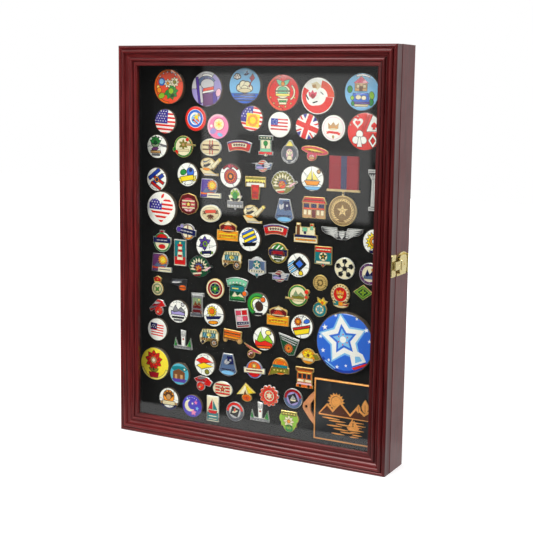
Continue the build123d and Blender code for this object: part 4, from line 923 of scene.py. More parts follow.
def tuftShape():
    return [patch("green", (-11.6, -7.6), (-10.4, 0.6), (-8.0, -7.6)),
            patch("lime", (-8, -7.6), (-6.2, 3.0), (-4.0, -7.6)),
            patch("green", (5.6, -7.6), (10.2, 1.8), (11.6, -7.6)),
            patch("lime", (3.0, -7.6), (6.4, -1.4), (7.8, -7.6)),
            patch("white", (-1.4, -7.4), (-2.0, 4.6), (0.6, 10.6), (3.0, 4.6), (2.4, -7.4)),
            disc("pearl", 3.4, 0.6, 5.8), disc("scarlet", 1.9, 0.6, 1.0), bar("grey", 24, 2.6, 0, -9.0),
            *dots("white", 5, 24.0, 1.0, 0, -33.0, 70, 40)]


def sunPlateShape(sky, low):
    return [bar(sky, 26, 20, 0, 1), *sun("amber", "yellow", 7.2, 2.2, 4.0, 14), disc("lemon", 3.0, 2.2, 4.0),
            *hills("slate", low, 24, 7, -1.0, -3.0), bar("cream", 17.6, 4.8, 4.5, -7.5),
            *stripes("slate", 5, 0.6, 3.2, 2.8, 4.5, -7.5, 90)]


def moundShape():
    return [bar("amber", 26.8, 10.4, 0, -5.2), *stripes("yellow", 2, 24, 1.2, 3.4, 0, -5.2),
            *dots("orange", 6, 40, 1.6, 0, -45.2, 76, 28), oval("maroon", 21, 9.6, 0.5, 3.6),
            *petals("scarlet", 7, 6.4, 2.2, 0.5, 1.0, 20, 140),
            patch("cream", (-4.8, 7.2), (5.6, 7.2), (0.5, 11.0)), bar("ivory", 15.5, 1.2, 0.5, 1.0)]


def arcSignShape():
    return [arch("violet", 43.0, 39.8, 68, 44, 0, -32.8), arch("lavender", 42.0, 40.9, 74, 32, 0, -32.8),
            arch("red", 39.2, 32.2, 67, 46, 0, -32.8), arch("cream", 38.2, 34.0, 75, 30, 0, -32.8),
            *[star("maroon", 1.7, x, 3.2 - abs(x) * 0.07) for x in (-6.4, -3.2, 0, 3.2, 6.4)],
            arch("orange", 31.6, 28.9, 68, 44, 0, -32.8)]


def fanShape(core, dark):
    return [*petals("cream", 11, 11.6, 3.4, -2, -1, -10, 200, 1.0), *petals(dark, 8, 8.2, 3.0, -2, -1, 0, 180, 0.6),
            *petals("azure", 5, 6.2, 2.4, -2, -1, 15, 150), disc(core, 8.6, -2.6, -1.4),
            *petals("amber", 4, 4.4, 2.0, -2.6, -1.4, 20, 200), bar("cream", 12.0, 1.8, -4.4, -7.4, 8),
            bar(core, 9.0, 1.5, -4.4, -9.6, 8),
            patch("blush", (6.8, -4.4), (14.8, 1.6), (12.0, 1.6), (6.4, -1.6))]


def swanShape():
    return [oval("cream", 17.4, 12.4, -2.5, 3),
            *[leaf(p, 11, 3.4, -8.4, y, a)
                for p, y, a in (("charcoal", 0.0, 18), ("ivory", 2.6, 24), ("slate", 5.0, 26), ("ivory", 6.6, 20))],
            disc("lemon", 3.6, 13.2, 8), oval("amber", 9.4, 3.0, -4.0, -3.0, -4), bar("pearl", 16, 1.6, 1.0, -9.2),
            patch("cream", (2.2, 1.0), (11.2, 8.2), (12.6, 6.8), (5.0, -2.4))]


def wingedShape(field):
    return [disc(field, 12.2), *stripes("cream", 2, 9.4, 0.7, 8.4),
            *[leaf(p, 12.4, 3.0, -12.8 + 2 * i, 1.6 - 1.5 * i, -3)
                for i, p in enumerate(("pearl", "slate", "lavender"))],
            *[leaf("pearl", 9.4, 2.6, 1.2, -1.6 + 1.8 * i, 12 + 4 * i) for i in range(3)],
            disc("navy", 3.0, 0.6, 0.6)]


def ballShape():
    # five-sided patches joined by seams
    turns = range(18, 378, 72)
    return [patch("black", *ring(5, 3.0, 18)),
            *[figure("black", ring(5, 2.9, 54), *polar(7.9, a), a) for a in turns],
            *[bar("charcoal", 4.2, 0.5, *polar(4.9, a), a) for a in turns]]


def dartShape(body, nose):
    return [disc(body, 9.6, 1.8, -5), oval(nose, 5.4, 4.2, 3.2, -3.8, 20), star("cream", 1.9, 0.4, -6.6, 10),
            *[leaf(p, 12, 2.6, -10.6 + 1.6 * i, -3.0 + 3.4 * i, 22 - 8 * i)
                for i, p in enumerate(("grey", "crimson", "pearl"))]]


# enamel pins by CAD node: (place, plating, ground enamel, shapes). Each is matched to the
# nearest outline in the node.
enamelPins = {
    "pins_round": [
        ((60.5, 332.5), "gold", "green", [disc("cream", 20.4), *petals("olive", 6, 6.4, 2.6, 0, 2.4),
            disc("tan", 3.6, 0, 2.4), bar("ivory", 15, 2.6, 0, -4.2), disc("scarlet", 5.2, -9.4, -6.8),
            disc("scarlet", 4.0, 5.6, 8.4), bar("tan", 9, 2.2, 8.4, 2.6)]),
        ((212, 172), "gold", "green", [disc("cream", 19.4), *hills("sage", "olive", 15, 9, 0, 1.0),
            bar("ivory", 14, 2.4, 0, -5.2), disc("scarlet", 4.8, 10.6, 5), disc("coral", 3.8, 10.2, -1),
            bar("tan", 7, 2.2, -9.4, -4)]),
        ((186, 218), "gold", "olive", [disc("white", 19), *stripes("green", 3, 12.0, 2.2, 4.4, 0.6, 4.0, 48),
            bar("navy", 22.6, 7.0, 0, 0.4), *ribbonBand("crimson", "maroon", 15, 3.6, 0, 0.4),
            *stripes("forest", 2, 9.4, 1.5, 3.2, 0, -6.2)]),
        ((268, 207.5), "silver", "cream", ballShape()),
        ((297.5, 204), "silver", "plum", [disc("cream", 17.4), *hills("navy", "slate", 13, 10, 0, -0.4),
            disc("amber", 2.8, 3.4, 4.6), *dots("lavender", 10, 10.2, 1.0)]),
        ((239, 189), "gold", None, [disc("darkGold", 15), disc("gold", 13.8),
            *sun("darkGold", "gold", 4.8, 0, 0, 12), *dots("darkGold", 16, 6.2, 0.7)]),
        ((104.5, 169.5), "gold", "cream", [disc("crimson", 19), disc("cream", 14.4), disc("navy", 12.4),
            *petals("green", 6, 5.8, 2.6), disc("lemon", 2.8)]),
        ((263.5, 178.5), "gold", "ivory", [*dots("brown", 18, 9.7, 1.1), disc("red", 15.4),
            *crown("amber", "cream", 8, 5, 0, 2.4), *petals("lemon", 3, 4.2, 2.0, 0, -4.4, 40, 100),
            bar("teal", 6.4, 4.0, -5.2, -10.2, 6), bar("amber", 5.0, 4.0, 0.8, -10.6),
            bar("crimson", 6.0, 4.0, 6.6, -10.2, -6)]),
        ((177.5, 51.5), "silver", "coral", [disc("scarlet", 17.4), disc("cream", 12.6), disc("coral", 9.8),
            star("cream", 4.4, 0, 0, 0, 6, 0.5), *dots("amber", 12, 9.6, 1.2)]),
        ((208, 52.5), "silver", "slate", [arch("crimson", 11.0, 8.2, 10, 170), disc("lavender", 15.6),
            bar("charcoal", 10, 10, 0, 0, 24),
            *boat("cream", "pearl", 7.6, 0.2, 0.4)]),
        ((132.5, 26), "silver", "smoke", [arch("scarlet", 11.0, 8.0, 10, 170), disc("pearl", 15.4),
            bar("black", 10, 10, 0, 0, -18),
            *bird("cream", "coral", 8.4, 0, 0.2, 20)]),
        ((31, 220), "silver", "green", [disc("cream", 19, 0, -1.5), arch("red", 9.4, 5.4, 25, 130, 0, -1.0),
            bar("navy", 23.4, 5.6, 0, 1.0), *stripes("pearl", 3, 1.0, 4.0, 5.0, 0, 1.0, 90),
            oval("red", 9.4, 5.2, 0, -6.6), bar("crimson", 4.6, 1.8, 0, 11.4)]),
        ((24.5, 166), "gold", "cream", [disc("sage", 12.6, 0, -4), disc("ivory", 9.6, 0, -4),
            *petals("green", 4, 4.0, 2.0, 0, -4.4, 45),
            patch("red", (-3.4, 4.2), (3.4, 4.2), (4.8, 8.6), (0, 10.8), (-4.8, 8.6)), disc("amber", 2.0, 0, 7.6),
            bar("lemon", 7.4, 1.0, 0, 4.4)]),
    ],
    "pins_oval": [
        ((97.5, 333), "silver", "cream", [bar("ivory", 24, 14), *stripes("brown", 2, 21, 1.0, 5.0),
            *stripes("coral", 2, 15.6, 0.9, 3.4, 0.5, 0, 90),
            patch("tan", (-2.6, -2.0), (2.8, -2.0), (3.6, 2.4), (-3.2, 2.4)),
            *petals("maroon", 4, 4.4, 1.6, 0, 0, 45)]),
        ((97.7, 257), "silver", "cream", [oval("ivory", 22, 14.6, 0, 0, 5),
            *ribbonBand("coral", "brown", 17, 3.4, 0, 2.4, 5), *petals("brown", 5, 5.4, 1.8, 0, -2.0, 200, 140),
            disc("maroon", 2.2, 0, -2.4)]),
        ((115.5, 50.8), "silver", "cream", [*stripes("scarlet", 4, 19, 1.6, 3.5, 0, 0), disc("cream", 8.4),
            *petals("red", 5, 3.8, 2.0), disc("amber", 1.6)]),
        ((198.5, 331.5), "silver", "grey", [oval("smoke", 17, 17, 0, -2.6), oval("blush", 8.4, 12, 0, -2.4),
            *petals("cream", 3, 6.0, 2.6, 0, -3.4, 50, 80),
            patch("cream", (-3.4, -8.4), (3.4, -8.4), (2.0, -4.0), (-2.0, -4.0)),
            patch("lemon", (-4.6, 6.6), (4.6, 6.6), (1.4, 11.6), (-0.8, 11.6)),
            arch("pearl", 9.2, 8.0, 200, 60, 0, -2.6), arch("pearl", 9.2, 8.0, -80, 60, 0, -2.6)]),
    ],
    "pins_banner": [
        ((134.8, 334), "silver", None, arcSignShape()),
        ((182.7, 242), "silver", None, arcSignShape()),
        ((97.5, 285.5), "silver", "navy", sunPlateShape("violet", "orange")),
        ((30.2, 193.5), "silver", "navy", sunPlateShape("plum", "coral")),
        ((120.5, 238), "gold", None, moundShape()),
        ((187, 146), "gold", None, moundShape()),
        ((133.5, 170.5), "silver", "forest", [arch("mint", 29.0, 22.6, 61, 58, 0, -15.0),
            *[star("white", 1.6, x, 9.2 - x * x * 0.017) for x in (-9, -4.5, 0, 4.5, 9)],
            bar("teal", 17.4, 6.4, 0.5, 1.8), *hills("cream", "green", 17, 8, 0.5, -6.0),
            disc("orange", 5.4, 10.0, -3.0), bar("lemon", 8, 1.2, -2.0, 2.0)]),
        ((65, 233.5), "silver", "plum", [disc("cream", 15.4, 2, 0), *stripes("crimson", 2, 0.9, 13, 6.8, 2, 0, 0),
            bar("navy", 24.6, 6.0, 0, 0.5, -8), *stripes("pearl", 4, 1.0, 3.4, 4.2, 0, 0.5, 82),
            disc("violet", 5.6, -10.5, 2.4), disc("lavender", 4.2, -6, 6.4),
            arch("amber", 8.6, 7.0, 250, 70, 2, 0)]),
        ((226, 104), "gold", None, [disc("amber", 16.4), *petals("yellow", 8, 6.8, 3.4, 0, 1.2),
            disc("brown", 3.4, 0, 1.2), patch("cream", (-13.4, -2.4), (-8.2, 3.6), (-5.4, -2.2)),
            patch("olive", (5.6, 2.6), (10.8, 3.4), (14.0, -1.6), (9.2, -2.8)),
            bar("ivory", 12.4, 3.0, 0, -3.6, -3)]),
        ((157.5, 80), "silver", "azure", [disc("orange", 17.4, 0, 0.6),
            figure("red", ring(14, 9.0, 190, 160)), *sun("amber", "lemon", 3.6, 0, 4.4, 10),
            bar("cream", 26.2, 5.0, 0, -1.5, 2), *stripes("crimson", 6, 1.0, 2.8, 3.6, 0, -1.5, 92)]),
    ],
    "pins_upright": [
        ((56.3, 208), "silver", "cream", [bar("teal", 14.4, 18.6, 0, 5.0), bar("red", 14.4, 8.8, 0, -9.4),
            patch("cream", (-4.0, -8.4), (4.0, -8.4), (2.4, 7.4), (-2.4, 7.4)),
            *stripes("red", 2, 5.4, 2.2, 6.2, 0, -0.6), bar("red", 6.4, 2.4, 0, 8.8), disc("lemon", 2.6, 0, 11.6)]),
        ((102.3, 25), "silver", "cream", [bar("teal", 14.4, 9.4, 0, -9.2),
            *stripes("cream", 2, 11, 0.9, 3.4, 0, -10.6),
            patch("red", (-6.4, -2.0), (6.4, -2.0), (4.4, -5.4), (-4.6, -5.4)),
            patch("red", (-0.5, -0.6), (-0.5, 12.4), (-6.2, -0.6)),
            patch("teal", (0.6, -0.6), (6.2, -0.6), (0.6, 10.4))]),
        ((80, 148), "silver", "grey", [bar("sage", 11.4, 12.4, 0, 2.0), *hills("brown", "maroon", 11, 9, 0, 0.6),
            bar("pearl", 15.4, 2.4, 0.7, 12), *ribbonBand("maroon", "brown", 12.5, 3.2, -0.3, -7.4),
            bar("smoke", 14.6, 2.4, -0.7, -12), disc("lemon", 2.2, 2.6, 6.2)]),
        ((242, 218), "gold", "teal", [bar("red", 18.8, 5.4, 0, 8.2),
            *stripes("cream", 5, 1.2, 3.2, 3.4, 0, 8.2, 90), disc("cream", 9.4, 0, 0.6),
            *petals("forest", 5, 4.4, 2.0, 0, 0.6), disc("amber", 1.8, 0, 0.6), bar("cream", 16.4, 2.2, 0, -6.0),
            disc("scarlet", 2.0, 0, -9.0)]),
        ((168.5, 337.5), "silver", "mint", [bar("cream", 11.4, 9.4, 0, 1.4),
            *roundTree("green", "brown", 8.4, 0, 1.4), bar("forest", 16.4, 3.2, 0, 8.5),
            *stripes("cream", 4, 1.0, 2.0, 3.6, 0, 8.5, 90), bar("scarlet", 16.4, 2.6, 0, -8.4),
            disc("cream", 2.8, 0, -10.4)]),
        ((193, 266), "silver", "slate", jugShape(60)),
        ((122.3, 81), "silver", "slate", jugShape(20)),
        ((141, 138.5), "silver", "white", moved([
            *[bar(p, 6.6, 5.4, x, y) for p, x, y in (("rose", -4.2, 6.4), ("red", 3.8, 6.4), ("blush", -4.2, -0.4),
                                                     ("rose", 3.8, -0.4))],
            bar("navy", 15.4, 3.0, 0, -5.8), *stripes("pearl", 4, 0.8, 1.8, 3.2, 0, -5.8, 90),
            bar("crimson", 15.4, 1.3, 0, -9.2)], turn=9)),
        ((67.7, 265.5), "gold", "maroon", [oval("rose", 18, 14.4, 0, 0.6),
            *stripes("cream", 3, 17.0, 1.5, 4.0, 0, 0.4), disc("crimson", 6.8, 0, 0.4), star("lemon", 2.9, 0, 0.4),
            *petals("blush", 2, 6.4, 2.4, 0, -7.4, 20, 140)]),
    ],
    "pins_figure": [
        ((192.5, 296.5), "silver", "olive", fanShape("coral", "olive")),
        ((84.5, 193), "darkSilver", "forest", fanShape("crimson", "umber")),
        ((96, 311), "gold", "ivory", swanShape()),
        ((153.2, 260), "gold", "ivory", swanShape()),
        ((165, 314.5), "silver", "slate", wingedShape("coral")),
        ((188.3, 191.5), "silver", "slate", wingedShape("crimson")),
        ((130, 276), "silver", "cream", [*petals("lime", 4, 7.4, 4.2, 0, 3.4, 30, 120),
            oval("green", 6.4, 8.6, 0, 3.4), *petals("black", 2, 6.4, 2.6, 0, -2.2, 25, 130),
            bar("grey", 19, 3.0, 0, -4.8), *stripes("pearl", 5, 2.4, 3.0, 3.8, 0, -8.2, 90),
            patch("pearl", (-1.4, -10), (1.4, -10), (0, -12))]),
        ((156, 289.5), "gold", "olive", [*stripes("lemon", 6, 3.2, 7.2, 4.2, 0, 8.0, 90),
            bar("white", 22.6, 4.2, 0, 3.6), *dots("brown", 7, 60, 1.5, 0, -53.0, 79.5, 21),
            patch("red", (-4.9, 3.4), (4.9, 3.4), (3.8, -11.8), (-3.8, -11.8)), oval("scarlet", 6.4, 4.4, 0, -1.0),
            oval("crimson", 6.6, 2.2, 0, -5.6), oval("crimson", 6.0, 1.8, 0, -9.2)]),
        ((154.5, 102), "gold", "tan",
            [patch("rose", (-9.6, 7.2), (10.0, -1.2), (9.4, -2.2), (2.6, -1.2), (-6.4, 4.8)),
            disc("brown", 7.4, -1.5, -4.5), *petals("blush", 3, 4.0, 1.8, -1.5, -4.5, 60, 120),
            disc("umber", 2.2, -1.5, -4.9)]),
        ((24.7, 140.5), "silver", "red", dartShape("scarlet", "coral")),
        ((88.5, 54), "silver", "red",
            [*[leaf(p, 13, 2.8, -9.4 + 1.0 * i, 0.2 + 2.6 * i, 4 + 3 * i)
                for i, p in enumerate(("pearl", "crimson", "grey"))], disc("scarlet", 9.2, -3, -3.5),
            oval("coral", 5.0, 3.8, -2.2, -2.2, 10), star("cream", 1.8, -4.6, -5.0)]),
        ((54, 170), "darkSilver", "charcoal",
            [*[leaf(p, 15, 2.4, -9.6 + i, 1.8 + 2.2 * i, 6) for i, p in enumerate(("pearl", "smoke", "grey"))],
            oval("orange", 9.8, 6.0, 6, -3.5), *stripes("umber", 2, 0.6, 5.0, 4.0, 6, -3.5, 90),
            disc("black", 2.2, 0.4, 0.4)]),
        ((228.6, 331.5), "gold", "rose", [leaf("amber", 26, 4.4, -12.4, 4.4, -8),
            leaf("lemon", 20, 1.8, -9.4, 4.2, -8), *petals("blush", 3, 5.4, 2.2, -3, -1.8, 230, 80),
            oval("tan", 6.8, 3.0, -3, -5.6), *stripes("crimson", 4, 0.7, 3.0, 4.4, 1.0, 1.0, 82)]),
    ],
    "pins_scene": [
        ((126, 205), "gold", "cream", cartShape()),
        ((96.5, 110.5), "gold", "cream", cartShape()),
        ((60.5, 103.5), "silver", "pearl", tuftShape()),
        ((165.5, 30.5), "silver", "pearl", tuftShape()),
        ((229.5, 272), "gold", "tan", [patch("red", (-14.2, 5.8), (14.2, 4.9), (11.2, 10.6), (-11.2, 10.6)),
            bar("maroon", 24, 0.8, 0, 8.0), *[bar("navy", 6.4, 4.4, x, 1.6) for x in (-9, 0, 9)],
            *[bar("cream", 3.4, 5.4, x, -5.6) for x in (-10.4, -5.2, 5.2, 10.4)], bar("maroon", 4.4, 8.4, 0, -7.2),
            bar("coral", 26, 1.5, 0, -1.4)]),
        ((220, 242.8), "gold", "cream", [bar("mint", 5.4, 4.4, -1, 4.4), bar("brown", 3.4, 12.4, -9, 2.6),
            bar("mint", 3.0, 5.4, 7.5, 7.0), patch("scarlet", (5.6, 8.6), (9.4, 8.6), (7.5, 10.8)),
            bar("navy", 26.8, 2.6, 0, -3.4), *stripes("amber", 6, 1.6, 3.4, 4.2, 0, -7.4, 90),
            disc("navy", 3.0, -0.8, 0.6)]),
        ((222, 79), "gold", "orange", [*[bar("charcoal", 4.0, 5.0, x, 1.6) for x in (-5.6, 0, 5.6)],
            bar("brown", 21, 2.4, 0, 9.4), bar("lemon", 17, 1.0, 0, 5.8), bar("cream", 17, 2.8, 0, -3.6),
            bar("blush", 18.4, 2.0, 0, -7.2), disc("umber", 3.0, -5.4, -9.6), disc("umber", 3.0, 5.4, -9.6),
            star("amber", 1.5, 0, -3.6)]),
        ((190, 87), "gold", "orange", [disc("amber", 14.4, 1, 2.4), oval("orange", 10, 4.6, 1, 5.4),
            bar("teal", 18.4, 3.0, 1, 1.0),
            patch("olive", (-12.8, -10.4), (-9.2, -1.2), (11.8, -1.2), (11.0, -6.4), (0, -6.2)),
            *[star("lemon", 1.5, x, -3.8) for x in (-6.6, -2.2, 2.2, 6.6)]]),
        ((201.5, 115), "silver", "forest",
            [*[patch("pearl", (-12.2 + a, 11.0 - 1.6 * i), (11.6 - a, 5.2 - 1.6 * i), (11.2 - a, 4.3 - 1.6 * i),
                     (-11.8 + a, 10.0 - 1.6 * i)) for i, a in ((0, 0), (1.6, 1.5), (3.2, 3.0))],
            *sun("orange", "amber", 5.8, 0, -4.8, 14), disc("brown", 2.4, 0, -4.8)]),
        ((147, 51), "gold", "lemon", [patch("cream", (-9.6, -2.8), (-1, 8.8), (2.4, -1.2)),
            patch("yellow", (-1, 9.4), (9.6, 1.0), (4.4, -1.2)),
            patch("brown", (-3.0, -2.8), (-1, 3.4), (0.8, -2.8)), oval("orange", 11.0, 7.4, 1, -6),
            *petals("scarlet", 3, 3.8, 1.6, 1, -8.0, 40, 100)]),
        ((159.3, 199.5), "silver", "pearl", [patch("slate", (-10.0, 7.0), (-3.0, 7.0), (-5.4, -1.4), (-10.0, -4.6)),
            patch("slate", (10.0, 7.0), (3.0, 7.0), (5.4, -1.4), (10.0, -4.6)), disc("teal", 9.6, 0, 3.2),
            *petals("cream", 5, 4.2, 1.8, 0, 3.2), bar("cream", 18.4, 2.6, 0, -4.6),
            *stripes("navy", 5, 0.8, 1.4, 3.2, 0, -4.6, 90), patch("teal", (-2.0, -7.4), (2.0, -7.4), (0, -11.2))]),
        ((239, 162), "gold", None, [disc("teal", 15.4, 0, -3), disc("cream", 9.6, 0, -3),
            *petals("aqua", 6, 4.2, 2.0, 0, -3),
            patch("yellow", (-0.8, 5.4), (-2.6, 9.4), (1.2, 7.0), (3.8, 9.8), (5.0, 6.6), (8.2, 6.0), (4.0, 1.6)),
            patch("orange", (1.2, 4.4), (2.4, 7.0), (4.6, 5.4), (4.0, 2.8))]),
        ((290.5, 183), "gold", "green", [patch("lime", (-8.2, 0), (0, 6.0), (8.2, 0), (0, -6.0)),
            patch("forest", (-6.4, 0), (0, 4.6), (6.4, 0), (0, -4.6)), *petals("lime", 4, 3.8, 1.6, 0, 0, 0)]),
        ((128, 115), "gold", "brown", [bar("orange", 21.6, 5.4, 0, 4.0, -4),
            *stripes("umber", 5, 0.8, 4.2, 4.2, 0, 4.0, 86), bar("amber", 21.6, 2.0, 0, -0.6, -4),
            disc("tan", 5.0, 9.5, -4), disc("tan", 3.4, -9.5, -4.5)]),
        ((203.2, 25.5), "gold", "lime", [bar("olive", 17.6, 4.0, 0, 8.4),
            *stripes("lemon", 5, 1.4, 2.4, 3.4, 0, 8.4, 90), *petals("cream", 8, 7.0, 3.4, 0, -0.4),
            disc("amber", 4.2, 0, -0.4), disc("green", 9.4, 0.5, -9.0),
            *petals("lime", 3, 4.0, 1.8, 0.5, -9.4, 40, 100)]),
    ],
}

# button badges: a pressed steel shell under printed paper and clear film

badgeForms = {
    "badges_large": {"diameter": 41.0, "height": 5.0, "around": 64},
    "badges_print": {"diameter": 29.0, "height": 3.6, "around": 48},
    "badges_white": {"diameter": 28.0, "height": 3.6, "around": 48},
    "badge_grand": {"diameter": 70.0, "height": 7.0, "around": 96},
}
badgeCurl = {"crown": 0.955, "fall": 0.18, "power": 1.9, "skirt": 1.5, "twist": 40, "sharp": 50,
             "rings": (0.2, 0.4, 0.6, 0.78, 0.91, 0.955, 0.975, 0.99)}
# the rim paint is painted shade: a dark band over each badge's curled edge, the side turned from the lamps
badgeLines = {"large": ("umber", 0.50), "white": ("black", 0.75), "enlarge": 1.2, "rim": "putty", "face": 26.8,
              "seam": 0.4, "seamTurn": 37, "marks": 7, "markRing": 11.6, "markSize": 1.2, "markSpan": 62}
feltLeft, feltFoot = -161.5, 10.0  # where the layout's zero lies


def onFelt(place):
    return place[0] + feltLeft, place[1] + feltFoot


def crowned(form):
    # height over the felt at a point of the badge
    reach, tall = form["diameter"] / 2, form["height"]
    crown, skirt, fall = badgeCurl["crown"], badgeCurl["skirt"], badgeCurl["fall"]
    shoulder = (1 - fall) * tall

    def height(x, y):
        t = math.hypot(x, y) / reach
        if t <= crown:
            return tall - fall * tall * (t / crown) ** badgeCurl["power"]
        curl = min(1.0, (t - crown) / (1 - crown))
        return skirt + (shoulder - skirt) * math.sqrt(1 - curl * curl)
    return height


def ballSeams(paint, reach, turn):
    # the curved seams of a ball, which run under the artwork
    side, top, width = 1.35 * reach, 2.2 * reach, badgeLines["seam"]
    lines = [arch(paint, side, side - width, -44, 88, -1.65 * reach, 0),
             arch(paint, side, side - width, 136, 88, 1.65 * reach, 0), bar(paint, 2 * reach, width),
             arch(paint, top, top - width, 60, 60, 0, -2.0 * reach)]
    return moved(lines, turn)


def linedWhite():
    # white badges get a thin rim in painted shade, ball seams, a row of dots at the edge and black outlines
    ruled = []
    line, width = badgeLines["white"]
    face, span = badgeLines["face"], badgeLines["markSpan"]
    for i, (place, shapes) in enumerate(whiteBadges):
        if place not in unlined:
            larger = moved(shapes, size=badgeLines["enlarge"])
            start = (270 if i % 3 else 90) - span / 2
            marks = dots(line, badgeLines["marks"], badgeLines["markRing"], badgeLines["markSize"], 0, 0, start, span)
            shapes = [disc("white", face), *ballSeams("smoke", face / 2, badgeLines["seamTurn"] * i), *marks,
                      *withLines(line, larger, width)]
        ruled.append((place, unlined.get(place, badgeLines["rim"]), shapes))
    return ruled


def linedLarge():
    line, width = badgeLines["large"]
    return [(place, ground, shapes if ground == "white" else withLines(line, shapes, width))
            for place, ground, shapes in largeBadges]


def layBadges(node, entries):
    form = badgeForms[node]
    casting = Casting()
    reach = form["diameter"] / 2
    spread = [spot for share in badgeCurl["rings"]
              for spot in ring(form["around"], reach * share, share * badgeCurl["twist"])]
    # painted shade: every badge's curled edge is painted dark, as its side in shadow
    rim = [arch(badgeLines["rim"], reach + 1, badgeCurl["crown"] * reach, start, 180) for start in (0, 180)]
    for place, ground, shapes in entries:
        layArt(casting, onFelt(place), ring(form["around"], reach), [*shapes, *rim], crowned(form), ground, spread)
    slotName = "white_badge" if node == "badges_white" else "printed_badge"
    casting.finish(node + "Art", node, slotName, printedTin, badgeCurl["sharp"])


printedTin, enamelWork = paintedMetal("printedTin"), paintedMetal("enamel")
wornSilver, reliefWork = paintedMetal("wornSilver"), paintedMetal("relief")
layBadges("badges_large", linedLarge())
layBadges("badges_print", printBadges)
layBadges("badges_white", linedWhite())
layBadges("badge_grand", grandBadge)
print("badges laid:", len(largeBadges), len(printBadges), len(whiteBadges), len(grandBadge))

# hard enamel pins: the outline comes from the CAD, the artwork lies inside its metal rim

pinForm = {"plate": 1.8, "rim": 0.55, "sharp": 25}
deepened = {"gold": "darkGold", "silver": "darkSilver", "copper": "darkCopper", "bronze": "darkBronze"}


def centred(outline, cx, cz):
    return thinned([(x - cx, z - cz) for x, z in outline])


def layPins(node, entries):
    casting = Casting()
    outlines = islands(node)
    for place, plating, ground, shapes in entries:
        cx, cz = onFelt(place)
        outline = centred(min(outlines, key=lambda o: math.dist(middleOf(o), (cx, cz))), cx, cz)
        inside = grown(outline, -pinForm["rim"])
        art = ([(ground, inside)] if ground else []) + withLines(deepened.get(plating, plating), shapes)
        layArt(casting, (cx, cz), outline, art, lambda x, y: pinForm["plate"], plating,
               steps={"enamel": pinRelief["enamel"]}, rim=pinRelief["edge"], inside=inside)
    casting.finish(node + "Art", node, "enamel", enamelWork, pinForm["sharp"])


for node, entries in enamelPins.items():
    layPins(node, entries)
print("enamel pins laid:", sum(len(entries) for entries in enamelPins.values()))

# silver wings and column

wingPlace, columnPlace = (264, 245), (299.5, 294.5)
silverForm = {"wings": 2.2, "column": 2.4, "rim": 0.35, "edge": 0.25, "drops": {"darkSilver": 0.45}}


def wingShapes():
    # each side has long feathers, and short ones over their roots
    shapes = []
    for side, turned in ((1, 0), (-1, 180)):
        shapes += [leaf("silver", 18.6 - 2.4 * i, 1.7, side * (5.2 + 0.5 * i), 4.6 - 1.55 * i,
                        turned + side * (2 - 2.0 * i)) for i in range(6)]
        shapes += [leaf("silver", 6.4 - 0.5 * i, 1.5, side * 4.2, 4.4 - 1.8 * i, turned + side * (6 - 5 * i))
                   for i in range(5)]
    shield = [(-3.3, 2.6), (3.3, 2.6), (3.4, -1.6), (0, -5.6), (-3.4, -1.6)]
    return shapes + [patch("darkSilver", *grown(shield, 0.35)), patch("silver", *shield),
                     *stripes("darkSilver", 5, 0.42, 4.2, 1.15, 0, -1.6, 90), bar("darkSilver", 6.2, 0.4, 0, 1.0)]


def columnShapes():
    return [patch("silver", (-2.4, -17.6), (2.4, -17.6), (1.7, 11.6), (-1.7, 11.6)),
            *stripes("darkSilver", 3, 0.34, 27.5, 1.0, 0, -3.0), bar("silver", 10, 1.2, 0, -19.0),
            bar("silver", 10, 1.2, 0, -21.0), bar("silver", 12, 1.1, 0, 20.9), bar("silver", 12, 1.1, 0, 19.2),
            *[leaf("silver", 6.0, 1.6, x, 11.4, 90 + 9 * -x) for x in (-2.0, -0.7, 0.7, 2.0)]]


def laySilver(node, name, place, thick, shapes):
    casting = Casting()
    cx, cz = onFelt(place)
    outline = centred(islands(node)[0], cx, cz)
    inside = grown(outline, -silverForm["rim"])
    layArt(casting, (cx, cz), outline, [("darkSilver", inside)] + shapes, lambda x, y: thick, "silver",
           steps=silverForm["drops"], rim=silverForm["edge"], inside=inside)
    casting.finish(name, node, "silver_plate", wornSilver, pinForm["sharp"])


laySilver("pilot_wings", "pilotWingsRelief", wingPlace, silverForm["wings"], wingShapes())
laySilver("silver_column", "silverColumnRelief", columnPlace, silverForm["column"], columnShapes())
print("silver pins laid")

# copper plaque: a dark sunk field with a raised river view

plaqueForm = {"place": (275.5, 46), "width": 80.0, "height": 70.0, "thick": 3.5, "rim": 1.5, "edge": 0.3, "bare": 0.6,
              "drops": {"ink": 1.0, "darkCopper": 0.7, "copper": 0.0}}


def plaqueShapes():
    # a sun over a ridge, waves before it, three trees and a boat
    rim = 2 * plaqueForm["rim"]
    shapes = [patch("ink", *oblong(plaqueForm["width"] - rim, plaqueForm["height"] - rim)),
              star("copper", 10.5, -13, 11, 0, 16, 0.72), disc("darkCopper", 13.0, -13, 11),
              disc("copper", 11.6, -13, 11),
              patch("copper", (-34, -4), (-24, 8), (-17, 1), (-8, 12), (4, -1), (12, 9), (21, 2), (34, 12), (34, -6),
                    (-34, -6)),
              patch("darkCopper", (-33, -4.6), (-24, 5.4), (-17, -1.6), (-8, 9.0), (4.4, -3.6), (12, 6), (21, -1),
                    (33, 8.4), (33, -5.4))]
    for i in range(7):
        shapes += [leaf("copper", 22 - i, 1.4, -30 + 6.4 * (i % 3) + 2 * i, -8.6 - 2.8 * i, 2 * (i % 2) - 1),
                   leaf("copper", 17 - i, 1.2, 4 + 3.2 * (i % 2), -9.8 - 2.8 * i, 1 - 2 * (i % 2))]
    for x, y, size in ((22, 15, 17), (29, 13, 12), (14, 14, 11)):
        shapes += [leaf("copper", size * 0.9, size * 0.5, x, y - 12, 90),
                   bar("darkCopper", 0.6, size * 0.6, x, y - 8)]
    return shapes + boat("copper", "copper", 15, 8, -13)


